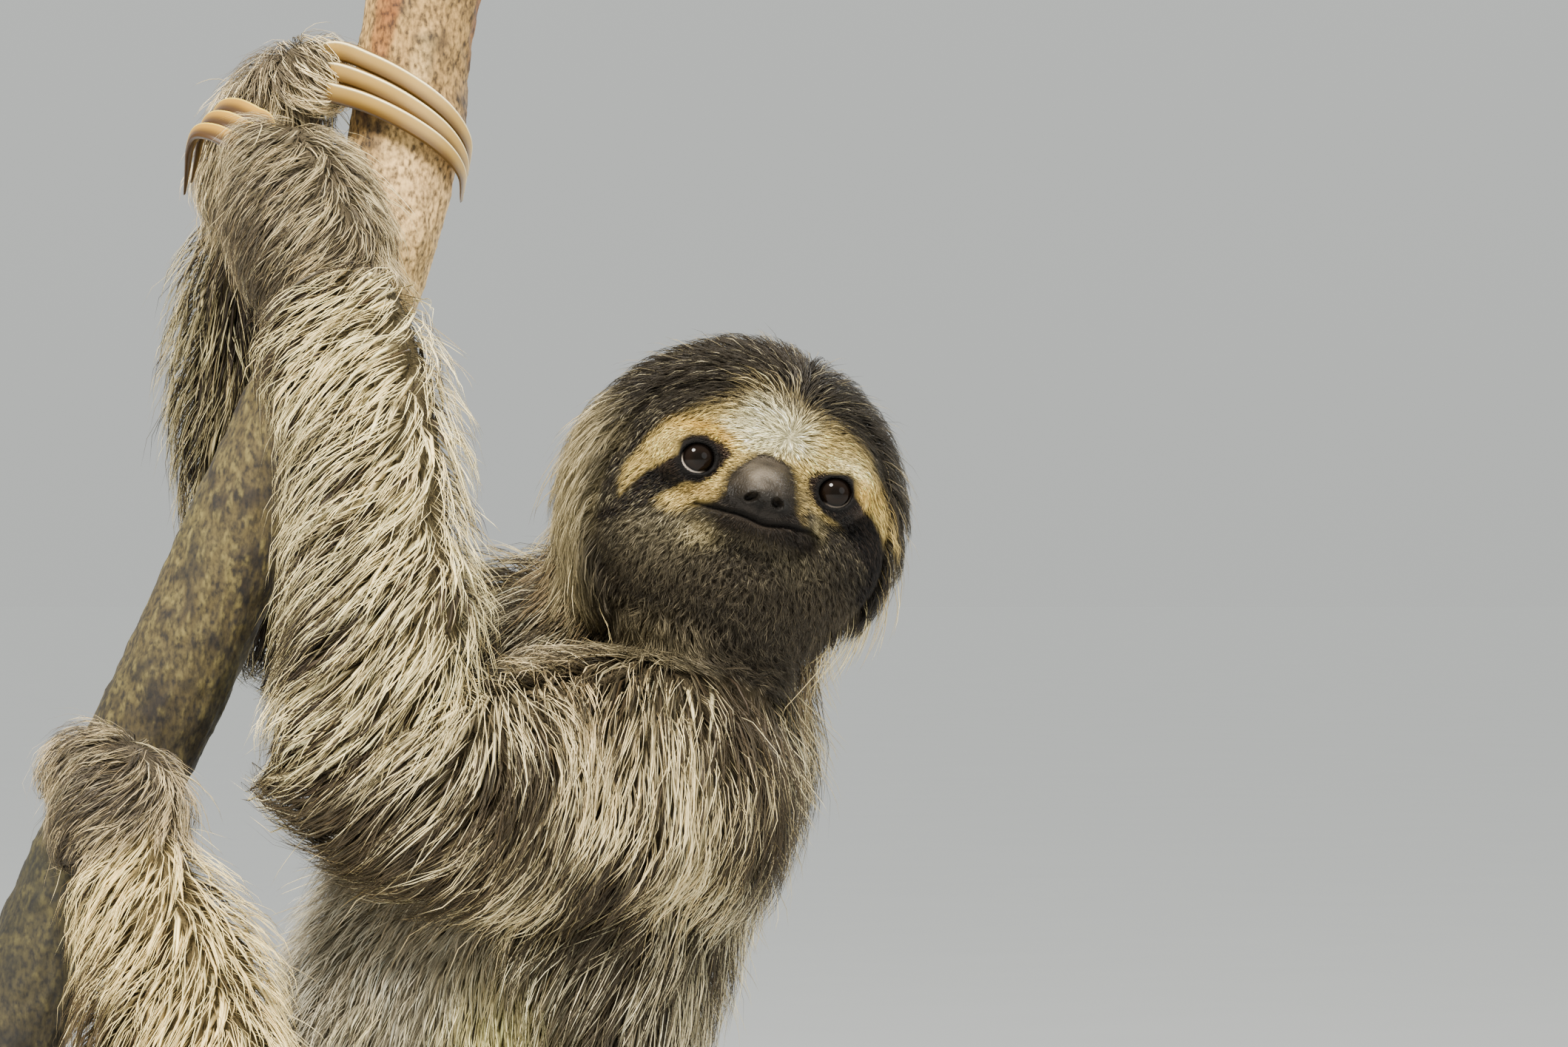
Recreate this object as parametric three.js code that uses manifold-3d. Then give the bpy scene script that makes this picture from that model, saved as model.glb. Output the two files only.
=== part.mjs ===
// A life-size brown-throated three-toed sloth, climbing a leaning bough on a plain display stand.
// Millimetres, +Z up. The origin is the middle of the underside of the stand's base. The animal hugs the bough
// with its belly towards -X and its left side towards -Y, and has turned its face to -Y. "Near" limbs are on
// the -Y side, "far" limbs on the +Y side. Sizes of the animal run out to the tips of its coat.
import * as THREE from 'three';
import Module from 'manifold-3d';
import { mergeVertices } from 'three/addons/utils/BufferGeometryUtils.js';

const wasm = await Module();
wasm.setup();

// ---- driving dimensions, mm and degrees ----
const GAP = 0.4; // thin cut left between pieces that meet
const BASE = { length: 430, width: 300, thick: 20, corner: 30, bevel: 3 };
const FLANGE = { radius: 22, thick: 5 };
const ROD_RADIUS = 9;
const BOUGH_FOOT_Z = 146; // the level at which the bough is sawn off over the rod
const BOUGH_RADIUS = 17.6;
const HEAD = { middle: [97, -76, 424], yaw: 10, roll: 14 }; // the middle is the point between the eyes
const SKULL = { centre: [0, -10, -39], radii: [52, 51.5, 42.5] };
const MUZZLE = { centre: [0, -9.5, -4], radii: [19, 13, 17] };
const BROW = { centre: [0, 4, -16], radii: [33, 15, 18] };
const HEAD_BLEND = 10; // a higher power blends skull, brow and muzzle less
const EYE = { radius: 6.2, apart: 42, depth: -3.6 };
const NOSE = { centre: [0, -5.5, 6], radii: [9.5, 8.5, 7] };
const CLAW = { deep: 3.3, thick: 2.1, tip: 0.7 }; // half sizes of the section at the root, and of the tip
const CLAWS = 3;

const Y_AXIS = new THREE.Vector3(0, 1, 0);
const rad = THREE.MathUtils.degToRad;

// ---- landmarks: [x, y, z, half size across the limb in the XZ plane, half size along Y] ----
const BOUGH = [
  [3, 0, 610], [-6, 0, 567], [-13, 0, 520], [-24, 0, 482], [-45, 0, 442], [-85, 0, 355],
  [-118, 0, 284], [-143, 0, 226], [-158, 0, 180], [-164, 0, 130],
].map(([x, y, z]) => [x, y, z, BOUGH_RADIUS, BOUGH_RADIUS]);
const TORSO = [
  [70, -2, 378, 50, 46], [58, 0, 352, 60, 57], [44, 0, 326, 61, 63], [29, 0, 301, 66, 67],
  [9, 0, 256, 68, 70], [-7, 0, 212, 66, 69], [-18, 0, 167, 60, 67], [-30, 0, 130, 50, 60], [-44, 0, 102, 34, 45],
];
const WAIST = { at: [16, 0, 274], along: [-0.4, 0, -0.92] }; // the cut between chest and abdomen
const NECK = [[66, 2, 372, 46, 44], [76, -10, 392, 46, 45], [86, -26, 410, 44, 42]];
const TAIL = [[-40, 0, 98, 22, 24], [-52, 0, 80, 15, 17], [-60, 0, 66, 9, 10]];
const NEAR = {
  upper_arm: [
    [70, -44, 342, 42, 38], [38, -58, 333, 42, 38], [4, -70, 332, 38, 34], [-22, -78, 336, 28, 27], [-36, -80, 340, 19, 20],
  ],
  forearm: [
    [-27, -82, 348, 25, 25], [-15, -77, 376, 33, 28], [-16, -70, 402, 31, 27], [-18, -62, 433, 30, 26],
    [-26, -50, 464, 30, 25], [-36, -42, 488, 27, 23],
  ],
  hand: [[-36, -41, 490, 26, 22], [-42, -36, 505, 25, 21], [-48, -31, 516, 20, 18], [-55, -27, 522, 12, 13]],
  thigh: [[-4, -40, 152, 46, 40], [-34, -62, 186, 41, 36], [-58, -79, 222, 33, 29]],
  shin: [
    [-66, -82, 236, 34, 29], [-74, -72, 257, 35, 30], [-76, -62, 276, 33, 28], [-84, -53, 297, 27, 25], [-91, -46, 318, 24, 21],
  ],
  foot: [[-93, -43, 322, 24, 20], [-97, -40, 331, 22, 19], [-104, -35, 337, 17, 16], [-112, -28, 337, 10, 11]],
};
const FAR = {
  upper_arm: [[44, 44, 372, 36, 36], [12, 58, 376, 28, 28], [-20, 68, 375, 24, 25], [-48, 70, 374, 19, 20]],
  forearm: [
    [-56, 72, 382, 23, 23], [-62, 61, 414, 24, 25], [-65, 50, 448, 25, 25], [-62, 39, 480, 25, 24], [-57, 28, 506, 23, 22],
  ],
  hand: [[-57, 24, 512, 22, 21], [-53, 15, 530, 20, 19], [-45, 4, 542, 16, 16], [-36, -8, 542, 11, 12]],
  thigh: [[-8, 40, 146, 46, 40], [-40, 62, 150, 38, 35], [-70, 79, 156, 30, 27]],
  shin: [[-84, 82, 162, 30, 27], [-102, 71, 176, 28, 26], [-122, 55, 192, 24, 23], [-136, 43, 207, 21, 20]],
  foot: [[-138, 42, 212, 21, 19], [-147, 38, 222, 18, 17], [-156, 31, 227, 13, 13], [-162, 24, 227, 9, 9]],
};

// Claws that lie round the bough. They turn about its axis from one angle to another: 0 faces -Y, 90 faces +X.
// z is where the topmost claw starts, pitch the step to the next, drop how far each slides down the bough.
const WRAPPED = {
  far_hand: { z: 548, pitch: 6.2, from: -66, to: 93, rootRadius: 27, tipRadius: 20.6, drop: 32 },
  near_foot: { z: 345, pitch: 7, from: -64, to: -196, rootRadius: 25, tipRadius: 20.6, drop: 4 },
  far_foot: { z: 232, pitch: 7, from: -122, to: 8, rootRadius: 25, tipRadius: 20.6, drop: 6 },
};
// The near hand hooks its claws over the far wrist: each runs from root over crest to tip.
const HOOKED = {
  root: { at: [-56, -27, 520], step: [2, 6.5, 4.5] },
  crest: { at: [-73, -18, 526], step: [3.2, 7.5, 4] },
  tip: { at: [-78, 1, 509], step: [1.5, 9.5, 4] },
};

// ---- colours of the coat, horn, bark and stand ----
const finish = (color, roughness, metalness = 0) => new THREE.MeshStandardMaterial({ color, roughness, metalness });
const FINISHES = {
  coat: finish(0xa8946f, 0.9),
  pale_coat: finish(0xcbb68c, 0.9),
  dark_coat: finish(0x5f5240, 0.9),
  belly_coat: finish(0x8d8069, 0.9),
  nose: finish(0x2c2724, 0.4),
  eye: finish(0x14100d, 0.08),
  claw: finish(0xc9ad76, 0.45),
  bark: finish(0x9a7f5c, 0.85),
  board: finish(0x4a3323, 0.5),
  steel: finish(0x2b2c2e, 0.4, 0.8),
};

// ---- closed shapes ----

// A closed body of elliptical rings along a smooth curve through the stations, with domed or flat ends.
function loft(stations, { grow = 0, sides = 11, rings = 6, dome = 0.8, domeAngles = [30, 60], reference = Y_AXIS } = {}) {
  const path = new THREE.CatmullRomCurve3(stations.map(([x, y, z]) => new THREE.Vector3(x, y, z)), false, 'catmullrom');
  const sizes = new THREE.CatmullRomCurve3(stations.map((s) => new THREE.Vector3(s[3], s[4], 0)), false, 'catmullrom');
  const vertices = [];
  const ring = (u, shift, scale) => {
    const along = path.getTangent(u);
    const lateral = reference.clone().addScaledVector(along, -reference.dot(along)).normalize();
    const across = along.clone().cross(lateral);
    const size = sizes.getPoint(u);
    const centre = path.getPoint(u).addScaledVector(along, shift);
    for (let k = 0; k < sides; k++) {
      const turn = (2 * Math.PI * k) / sides;
      const p = centre.clone();
      p.addScaledVector(across, scale * (size.x + grow) * Math.cos(turn));
      p.addScaledVector(lateral, scale * (size.y + grow) * Math.sin(turn));
      vertices.push(p.x, p.y, p.z);
    }
  };
  const domeLength = (station) => (dome ? dome * Math.min(station[3], station[4]) + grow : grow);
  const pole = (u, shift) => path.getPoint(u).addScaledVector(path.getTangent(u), shift);
  const startLength = domeLength(stations[0]);
  const endLength = domeLength(stations.at(-1));
  const angles = dome ? domeAngles : [];
  pole(0, -startLength).toArray(vertices, 0);
  angles.forEach((a) => ring(0, -startLength * Math.cos(rad(a)), Math.sin(rad(a))));
  for (let k = 0; k <= rings; k++) ring(k / rings, dome ? 0 : grow * Math.sign(k / rings - 0.5), 1);
  angles.toReversed().forEach((a) => ring(1, endLength * Math.cos(rad(a)), Math.sin(rad(a))));
  vertices.push(...pole(1, endLength).toArray());
  return closeRings(vertices, sides);
}

// Joins a first pole, rings of equal sides and a last pole into one closed geometry.
function closeRings(vertices, sides) {
  const last = vertices.length / 3 - 1;
  const index = [];
  for (let k = 0; k < sides; k++) {
    const next = (k + 1) % sides;
    index.push(0, 1 + k, 1 + next);
    index.push(last, last - sides + next, last - sides + k);
    for (let start = 1; start + sides < last; start += sides) {
      index.push(start + k, start + sides + k, start + sides + next);
      index.push(start + k, start + sides + next, start + next);
    }
  }
  const geometry = new THREE.BufferGeometry();
  geometry.setAttribute('position', new THREE.Float32BufferAttribute(vertices, 3));
  geometry.setIndex(index);
  return geometry;
}

function ellipsoid({ centre, radii }, grow = 0, segments = [12, 8]) {
  const shape = new THREE.SphereGeometry(1, ...segments);
  return shape.scale(...radii.map((r) => r + grow)).translate(...centre);
}

// How far along a ray from the skull's centre an ellipsoid ends, or 0 where the ray misses it.
function reach(direction, { centre, radii }, grow) {
  const from = new THREE.Vector3(...SKULL.centre).sub(new THREE.Vector3(...centre));
  const size = new THREE.Vector3(...radii).addScalar(grow);
  const d = direction.clone().divide(size);
  const o = from.divide(size);
  const a = d.lengthSq();
  const b = d.dot(o);
  const root = b * b - a * (o.lengthSq() - 1);
  return root > 0 ? Math.max(0, (Math.sqrt(root) - b) / a) : 0;
}

// The head in its own frame: x to the animal's left-hand picture side, y up and z out of the face.
// Its radius from the skull's centre is a smooth maximum of skull, brow and muzzle.
function headGeometry(grow) {
  const shape = new THREE.SphereGeometry(1, 20, 16).rotateX(Math.PI / 2);
  const points = shape.attributes.position;
  for (let k = 0; k < points.count; k++) {
    const direction = new THREE.Vector3().fromBufferAttribute(points, k);
    direction.z += 0.5 * Math.max(0, direction.z) ** 2; // crowds the rings towards the face
    direction.normalize();
    const reaches = [SKULL, BROW, MUZZLE].map((lobe) => reach(direction, lobe, grow) ** HEAD_BLEND);
    const radius = reaches.reduce((sum, r) => sum + r) ** (1 / HEAD_BLEND);
    direction.multiplyScalar(radius).add(new THREE.Vector3(...SKULL.centre));
    points.setXYZ(k, direction.x, direction.y, direction.z);
  }
  return shape;
}

// ---- solids: cutting and joining ----

function solid(geometry) {
  const bare = geometry.clone();
  bare.deleteAttribute('normal');
  bare.deleteAttribute('uv');
  const merged = mergeVertices(bare, 1e-3);
  const mesh = { numProp: 3, vertProperties: merged.attributes.position.array, triVerts: new Uint32Array(merged.index.array) };
  return new wasm.Manifold(new wasm.Mesh(mesh));
}

function geometryOf(body) {
  const mesh = body.getMesh();
  const geometry = new THREE.BufferGeometry();
  geometry.setAttribute('position', new THREE.BufferAttribute(mesh.vertProperties, 3));
  geometry.setIndex(new THREE.BufferAttribute(mesh.triVerts, 1));
  return geometry;
}

const largest = (body) => body.decompose().sort((a, b) => b.volume() - a.volume())[0];

// ---- the object ----

const sloth = new THREE.Group();
const headFrame = new THREE.Group();
headFrame.position.set(...HEAD.middle);
headFrame.rotation.order = 'ZXY';
headFrame.rotation.z = rad(HEAD.yaw);
headFrame.rotation.x = rad(90);
const headRoll = new THREE.Group();
headRoll.rotation.z = rad(-HEAD.roll);
headFrame.add(headRoll);
sloth.add(headFrame);
sloth.updateMatrixWorld(true);

function place(name, geometry, material, parent = sloth) {
  const mesh = new THREE.Mesh(geometry, FINISHES[material]);
  mesh.name = name;
  parent.add(mesh);
}

const grownPieces = []; // every piece so far, grown by the gap: what a new piece is cut by

// Adds a piece less everything that is already there.
function fit(name, shape, grown, material) {
  const cut = grownPieces.reduce((body, other) => body.subtract(other), solid(shape));
  place(name, geometryOf(largest(cut)), material);
  grownPieces.push(solid(grown));
}

function fitLoft(name, stations, material, options = {}) {
  fit(name, loft(stations, options), loft(stations, { ...options, grow: GAP }), material);
}

function addBough() {
  const options = { dome: 0, sides: 12, rings: 14 };
  const below = new THREE.BoxGeometry(200, 200, 200).translate(BOUGH.at(-1)[0], 0, BOUGH_FOOT_Z - 100);
  const bough = solid(loft(BOUGH, options)).subtract(solid(below));
  place('perch_bough', geometryOf(bough), 'bark');
  grownPieces.push(solid(loft(BOUGH, { ...options, grow: GAP })));
}

function addStand() {
  const { length, width, thick, corner, bevel } = BASE;
  const outline = new THREE.Shape();
  const [halfX, halfY] = [length / 2 - bevel, width / 2 - bevel];
  const round = corner - bevel;
  outline.moveTo(-halfX + round, -halfY);
  outline.lineTo(halfX - round, -halfY);
  outline.absarc(halfX - round, -halfY + round, round, rad(-90), 0);
  outline.absarc(halfX - round, halfY - round, round, 0, rad(90));
  outline.absarc(-halfX + round, halfY - round, round, rad(90), rad(180));
  outline.absarc(-halfX + round, -halfY + round, round, rad(180), rad(270));
  const depth = thick - 2 * bevel;
  const options = { depth, bevelThickness: bevel, bevelSize: bevel, bevelSegments: 1, curveSegments: 5 };
  place('stand_base', new THREE.ExtrudeGeometry(outline, options).translate(0, 0, bevel), 'board');
  const footX = boughAt(BOUGH_FOOT_Z).point.x;
  const flangeZ = BOUGH_FOOT_Z - GAP - FLANGE.thick / 2;
  const rodTop = BOUGH_FOOT_Z - 2 * GAP - FLANGE.thick;
  const rodLength = rodTop - thick - GAP;
  const upright = (radius, height, z) =>
    new THREE.CylinderGeometry(radius, radius, height, 18).rotateX(Math.PI / 2).translate(footX, 0, z);
  place('stand_flange', upright(FLANGE.radius, FLANGE.thick, flangeZ), 'steel');
  place('stand_rod', upright(ROD_RADIUS, rodLength, rodTop - rodLength / 2), 'steel');
}

// The bough's centre and its upward direction at a level.
function boughAt(z) {
  const path = new THREE.CatmullRomCurve3(BOUGH.map(([x, y, h]) => new THREE.Vector3(x, y, h)), false, 'catmullrom');
  let [low, high] = [0, 1];
  for (let k = 0; k < 30; k++) {
    const middle = (low + high) / 2;
    if (path.getPoint(middle).z > z) low = middle;
    else high = middle;
  }
  return { point: path.getPoint(low), up: path.getTangent(low).negate() };
}

const clawSize = (t) => {
  const taper = 1 - t ** 1.7;
  return [CLAW.tip + (CLAW.deep - CLAW.tip) * taper, CLAW.tip + (CLAW.thick - CLAW.tip) * taper];
};

function addClaw(name, points, sideways) {
  const stations = points.map((p, k) => [...p.toArray(), ...clawSize(k / (points.length - 1))]);
  fitLoft(name, stations, 'claw', { reference: sideways, sides: 6, rings: 6, dome: 1, domeAngles: [45] });
}

function addWrappedClaws(limb, { z, pitch, from, to, rootRadius, tipRadius, drop }) {
  for (let n = 0; n < CLAWS; n++) {
    const { point, up } = boughAt(z - n * pitch);
    const right = new THREE.Vector3(up.z, 0, -up.x);
    const points = [0, 0.2, 0.4, 0.6, 0.8, 1].map((t) => {
      const turn = rad(from + (to - from) * t);
      const radius = rootRadius + (tipRadius - rootRadius) * Math.sqrt(t);
      const slide = -drop * t ** 1.6;
      const lean = boughAt(point.z + slide).point.sub(point).setZ(slide);
      return point.clone().add(lean).addScaledVector(right, radius * Math.sin(turn)).add(
        new THREE.Vector3(0, -radius * Math.cos(turn), 0));
    });
    addClaw(`${limb}_claw_${n + 1}`, points, up);
  }
}

function addHookedClaws() {
  for (let n = 0; n < CLAWS; n++) {
    const [root, crest, tip] = [HOOKED.root, HOOKED.crest, HOOKED.tip].map(
      ({ at, step }) => new THREE.Vector3(...at).addScaledVector(new THREE.Vector3(...step), n));
    const hook = new THREE.CatmullRomCurve3([root, crest, tip], false, 'centripetal');
    addClaw(`near_hand_claw_${n + 1}`, hook.getPoints(6), new THREE.Vector3(0.35, 0.8, 0.3).normalize());
  }
}

function addHead() {
  const eyes = [-1, 1].map((side) => ({ centre: [(side * EYE.apart) / 2, 0, EYE.depth], radii: Array(3).fill(EYE.radius) }));
  let head = solid(headGeometry(0)).subtract(solid(ellipsoid(NOSE, GAP)));
  eyes.forEach((eye) => (head = head.subtract(solid(ellipsoid(eye, GAP)))));
  const toRow = headRoll.matrixWorld.elements;
  const clear = grownPieces.reduce((body, other) => body.subtract(other), head.transform(toRow));
  place('head', geometryOf(largest(clear)), 'dark_coat');
  place('nose', ellipsoid(NOSE), 'nose', headRoll);
  place('right_eye', ellipsoid(eyes[0]), 'eye', headRoll);
  place('left_eye', ellipsoid(eyes[1]), 'eye', headRoll);
  grownPieces.push(solid(headGeometry(GAP)).transform(toRow));
}

function addTorso() {
  const options = { sides: 16, rings: 10 };
  const [whole, grown] = [0, GAP].map((grow) => solid(loft(TORSO, { ...options, grow })));
  const clear = grownPieces.reduce((body, other) => body.subtract(other), whole);
  const down = new THREE.Vector3(...WAIST.along).normalize();
  const offset = down.dot(new THREE.Vector3(...WAIST.at));
  const chest = clear.trimByPlane(down.clone().negate().toArray(), -offset + GAP / 2);
  const abdomen = clear.trimByPlane(down.toArray(), offset + GAP / 2);
  place('chest', geometryOf(largest(chest)), 'coat');
  place('abdomen', geometryOf(largest(abdomen)), 'belly_coat');
  grownPieces.push(grown);
}

addBough();
addStand();
Object.entries(WRAPPED).forEach(([limb, wrap]) => addWrappedClaws(limb, wrap));
addHookedClaws();
addHead();
addTorso();
fitLoft('neck', NECK, 'dark_coat', { sides: 12, rings: 3 });
const extremity = { sides: 10, rings: 4, domeAngles: [45] };
for (const [side, limbs] of Object.entries({ near: NEAR, far: FAR })) {
  fitLoft(`${side}_upper_arm`, limbs.upper_arm, 'coat', { sides: 12 });
  fitLoft(`${side}_forearm`, limbs.forearm, 'pale_coat', { sides: 12, rings: 7 });
  fitLoft(`${side}_hand`, limbs.hand, 'coat', extremity);
  fitLoft(`${side}_thigh`, limbs.thigh, 'coat', { sides: 12, rings: 4 });
  fitLoft(`${side}_shin`, limbs.shin, 'pale_coat', { sides: 12, rings: 5 });
  fitLoft(`${side}_foot`, limbs.foot, 'coat', extremity);
}
fitLoft('tail', TAIL, 'coat', { rings: 3 });

export default sloth;
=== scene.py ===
import math

import bmesh
import bpy
import numpy as np
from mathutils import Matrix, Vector, noise
from mathutils.kdtree import KDTree


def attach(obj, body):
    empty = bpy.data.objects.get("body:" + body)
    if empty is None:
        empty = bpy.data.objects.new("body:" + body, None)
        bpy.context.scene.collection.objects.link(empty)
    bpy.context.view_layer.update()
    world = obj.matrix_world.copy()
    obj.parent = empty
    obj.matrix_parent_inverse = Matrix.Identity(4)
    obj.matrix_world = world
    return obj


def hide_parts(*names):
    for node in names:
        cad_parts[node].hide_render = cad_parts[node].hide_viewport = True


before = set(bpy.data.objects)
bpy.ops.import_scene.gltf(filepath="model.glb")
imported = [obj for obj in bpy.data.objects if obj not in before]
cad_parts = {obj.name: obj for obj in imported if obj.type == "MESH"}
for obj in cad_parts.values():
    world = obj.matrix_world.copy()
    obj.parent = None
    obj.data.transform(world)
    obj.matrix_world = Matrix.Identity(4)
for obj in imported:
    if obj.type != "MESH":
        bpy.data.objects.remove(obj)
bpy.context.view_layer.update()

rng = np.random.default_rng(11)
MM = 0.001
DOWN = np.array([0.0, 0.0, -1.0])

# ------------------------------------------------------------------ landmarks, in millimetres
# Each station is x, y, z, half size across in the XZ plane, half size along Y, out to the tips of the coat.
BOUGH_RADIUS = 17.6
BOUGH_FOOT = 146.0
BOUGH = np.array([
    (3, 0, 610), (-6, 0, 567), (-13, 0, 520), (-24, 0, 482), (-45, 0, 442), (-85, 0, 355),
    (-118, 0, 284), (-143, 0, 226), (-158, 0, 180), (-164, 0, 130)], float)
LIMBS = {
    "torso": [(70, -2, 378, 50, 46), (58, 0, 352, 60, 57), (44, 0, 326, 61, 63), (29, 0, 301, 66, 67),
              (9, 0, 256, 68, 70), (-7, 0, 212, 66, 69), (-18, 0, 167, 60, 67), (-30, 0, 130, 50, 60),
              (-44, 0, 102, 34, 45)],
    "neck": [(66, 2, 372, 46, 44), (76, -10, 392, 46, 45), (86, -26, 410, 44, 42)],
    "tail": [(-40, 0, 98, 22, 24), (-52, 0, 80, 15, 17), (-60, 0, 66, 9, 10)],
    "near_upper_arm": [(70, -44, 342, 42, 38), (38, -58, 333, 42, 38), (4, -70, 332, 38, 34),
                       (-22, -78, 336, 28, 27), (-36, -80, 340, 19, 20)],
    "near_forearm": [(-27, -82, 348, 25, 25), (-15, -77, 376, 33, 28), (-16, -70, 402, 31, 27),
                     (-18, -62, 433, 30, 26), (-26, -50, 464, 30, 25), (-36, -42, 488, 27, 23)],
    "near_hand": [(-36, -41, 490, 26, 22), (-42, -36, 505, 25, 21), (-48, -31, 516, 20, 18),
                  (-55, -27, 522, 12, 13)],
    "near_thigh": [(-4, -40, 152, 46, 40), (-34, -62, 186, 41, 36), (-58, -79, 222, 33, 29)],
    "near_shin": [(-66, -82, 236, 34, 29), (-74, -72, 257, 35, 30), (-76, -62, 276, 33, 28),
                  (-84, -53, 297, 27, 25), (-91, -46, 318, 24, 21)],
    "near_foot": [(-93, -43, 322, 24, 20), (-97, -40, 331, 22, 19), (-104, -35, 337, 17, 16),
                  (-112, -28, 337, 10, 11)],
    "far_upper_arm": [(44, 44, 372, 36, 36), (12, 58, 376, 28, 28), (-20, 68, 375, 24, 25),
                      (-48, 70, 374, 19, 20)],
    "far_forearm": [(-56, 72, 382, 23, 23), (-62, 61, 414, 24, 25), (-65, 50, 448, 25, 25),
                    (-62, 39, 480, 25, 24), (-57, 28, 506, 23, 22)],
    "far_hand": [(-57, 24, 512, 22, 21), (-53, 15, 530, 20, 19), (-45, 4, 542, 16, 16),
                 (-36, -8, 542, 11, 12)],
    "far_thigh": [(-8, 40, 146, 46, 40), (-40, 62, 150, 38, 35), (-70, 79, 156, 30, 27)],
    "far_shin": [(-84, 82, 162, 30, 27), (-102, 71, 176, 28, 26), (-122, 55, 192, 24, 23),
                 (-136, 43, 207, 21, 20)],
    "far_foot": [(-138, 42, 212, 21, 19), (-147, 38, 222, 18, 17), (-156, 31, 227, 13, 13),
                 (-162, 24, 227, 9, 9)],
}
NAMES = ["head"] + list(LIMBS)
HEAD, TORSO = NAMES.index("head"), NAMES.index("torso")
PAWS = [k for k, n in enumerate(NAMES) if n.endswith(("hand", "foot"))]
# Depth of the coat over the skin, length of the hair, and how far its tips leave the surface.
COAT = {
    "head": (6.5, 18, 0.25), "torso": (12, 40, 0.45), "neck": (9, 28, 0.35), "tail": (6, 22, 0.3),
    "upper_arm": (12, 38, 0.55), "forearm": (11, 32, 0.5), "hand": (4.8, 20, 0.25),
    "thigh": (12, 38, 0.5), "shin": (11, 32, 0.45), "foot": (4.8, 20, 0.25),
}
# Flesh that fills the hollows between shoulder, neck and back, and the far palm: middle and radii.
FILLERS = [((80, -27, 340), (18, 30, 40)), ((78, -32, 366), (24, 24, 20)), ((74, 24, 352), (22, 32, 30)),
           ((-40, -8, 546), (9.5, 9, 9))]
# Claws that wrap the bough: the first one's height, the step down to the next, the turns in degrees at root
# and tip, the distance from the bough's middle at both, how far each tip drops, and the root's own drop.
WRAPPED = {
    "far_hand": dict(z=548, pitch=6.2, start=-58, end=93, root=27, tip=20.6, drop=(31, 30, 26), tuck=0),
    "near_foot": dict(z=345, pitch=7, start=-128, end=-196, root=21, tip=20.6, drop=(4, 4, 4), tuck=9),
    "far_foot": dict(z=232, pitch=7, start=-122, end=8, root=25, tip=20.6, drop=(6, 6, 6), tuck=4),
}
# Claws of the near hand, which hook over air: the first one's place, and the step to the next.
HOOKED = dict(root=((-56, -27, 520), (2, 6.5, 4.5)), crest=((-73, -18, 526), (3.2, 7.5, 4)),
              tip=((-78, 1, 509), (1.5, 9.5, 4)))


def kind(name):
    return name.split("_", 1)[1] if name.startswith(("near_", "far_")) else name


# ------------------------------------------------------------------ small helpers

def unit(v):
    return v / np.maximum(np.linalg.norm(v, axis=-1, keepdims=True), 1e-9)


def smooth(a, b, x):
    t = np.clip((np.asarray(x, float) - a) / (b - a), 0, 1)
    return t * t * (3 - 2 * t)


def mix(a, b, w):
    """Between colours or points a and b, by one share w for each."""
    w = np.asarray(w, float)[..., None]
    return np.asarray(a) * (1 - w) + np.asarray(b) * w


def peak(x, at, wide, power=2):
    """One at a value and fading round it, over a width."""
    return np.exp(-((x - at) / wide) ** power)


def blob(x, y, at_x, at_y, wide, tall):
    """One at a point and fading round it, over wide and tall."""
    return peak(x, at_x, wide) * peak(y, at_y, tall)


def rgb(code):
    c = np.array([int(code[i:i + 2], 16) / 255 for i in (0, 2, 4)])
    return np.where(c <= 0.04045, c / 12.92, ((c + 0.055) / 1.055) ** 2.4)


def catmull(points, u):
    """A uniform Catmull-Rom spline through the points, at u from 0 to 1."""
    points = np.asarray(points, float)
    held = np.vstack([2 * points[0] - points[1], points, 2 * points[-1] - points[-2]])
    x = np.clip(np.asarray(u, float) * (len(points) - 1), 0, len(points) - 1 - 1e-9)
    i = x.astype(int)
    t = (x - i)[:, None]
    p0, p1, p2, p3 = held[i], held[i + 1], held[i + 2], held[i + 3]
    bend = 2 * p0 - 5 * p1 + 4 * p2 - p3
    return 0.5 * (2 * p1 + (p2 - p0) * t + bend * t ** 2 + (3 * p1 - p0 - 3 * p2 + p3) * t ** 3)


def wave(p, scale, seed=0):
    """A smooth wandering value from about -1 to 1 at each point."""
    q = np.asarray(p, float) / scale + seed * 7.31
    x, y, z = q[..., 0], q[..., 1], q[..., 2]
    return (np.sin(x + 1.7 * np.sin(y * 0.9 + seed)) + np.sin(1.3 * y + 1.4 * np.sin(z * 1.1 + 2 * seed))
            + np.sin(1.1 * z + 1.6 * np.sin(x * 0.8 + 3 * seed))) / 3


def ring_faces(rings, sides):
    """Quads between rings of points, with a pole before the first and after the last."""
    faces = []
    last = rings * sides + 1
    for k in range(sides):
        n = (k + 1) % sides
        faces.append((0, 1 + k, 1 + n))
        faces.append((last, last - sides + n, last - sides + k))
        for j in range(rings - 1):
            a = 1 + j * sides
            faces.append((a + k, a + sides + k, a + sides + n, a + n))
    return faces


def sphere(rings, sides=72):
    """The points of a unit sphere, from its pole at -z, for ring_faces to join."""
    lat = np.linspace(0, np.pi, rings + 2)[1:-1]
    lon = np.arange(sides) * 2 * np.pi / sides
    grid = [(math.cos(o) * math.sin(a), math.sin(o) * math.sin(a), -math.cos(a)) for a in lat for o in lon]
    return np.vstack([(0, 0, -1), grid, (0, 0, 1)])


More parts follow.
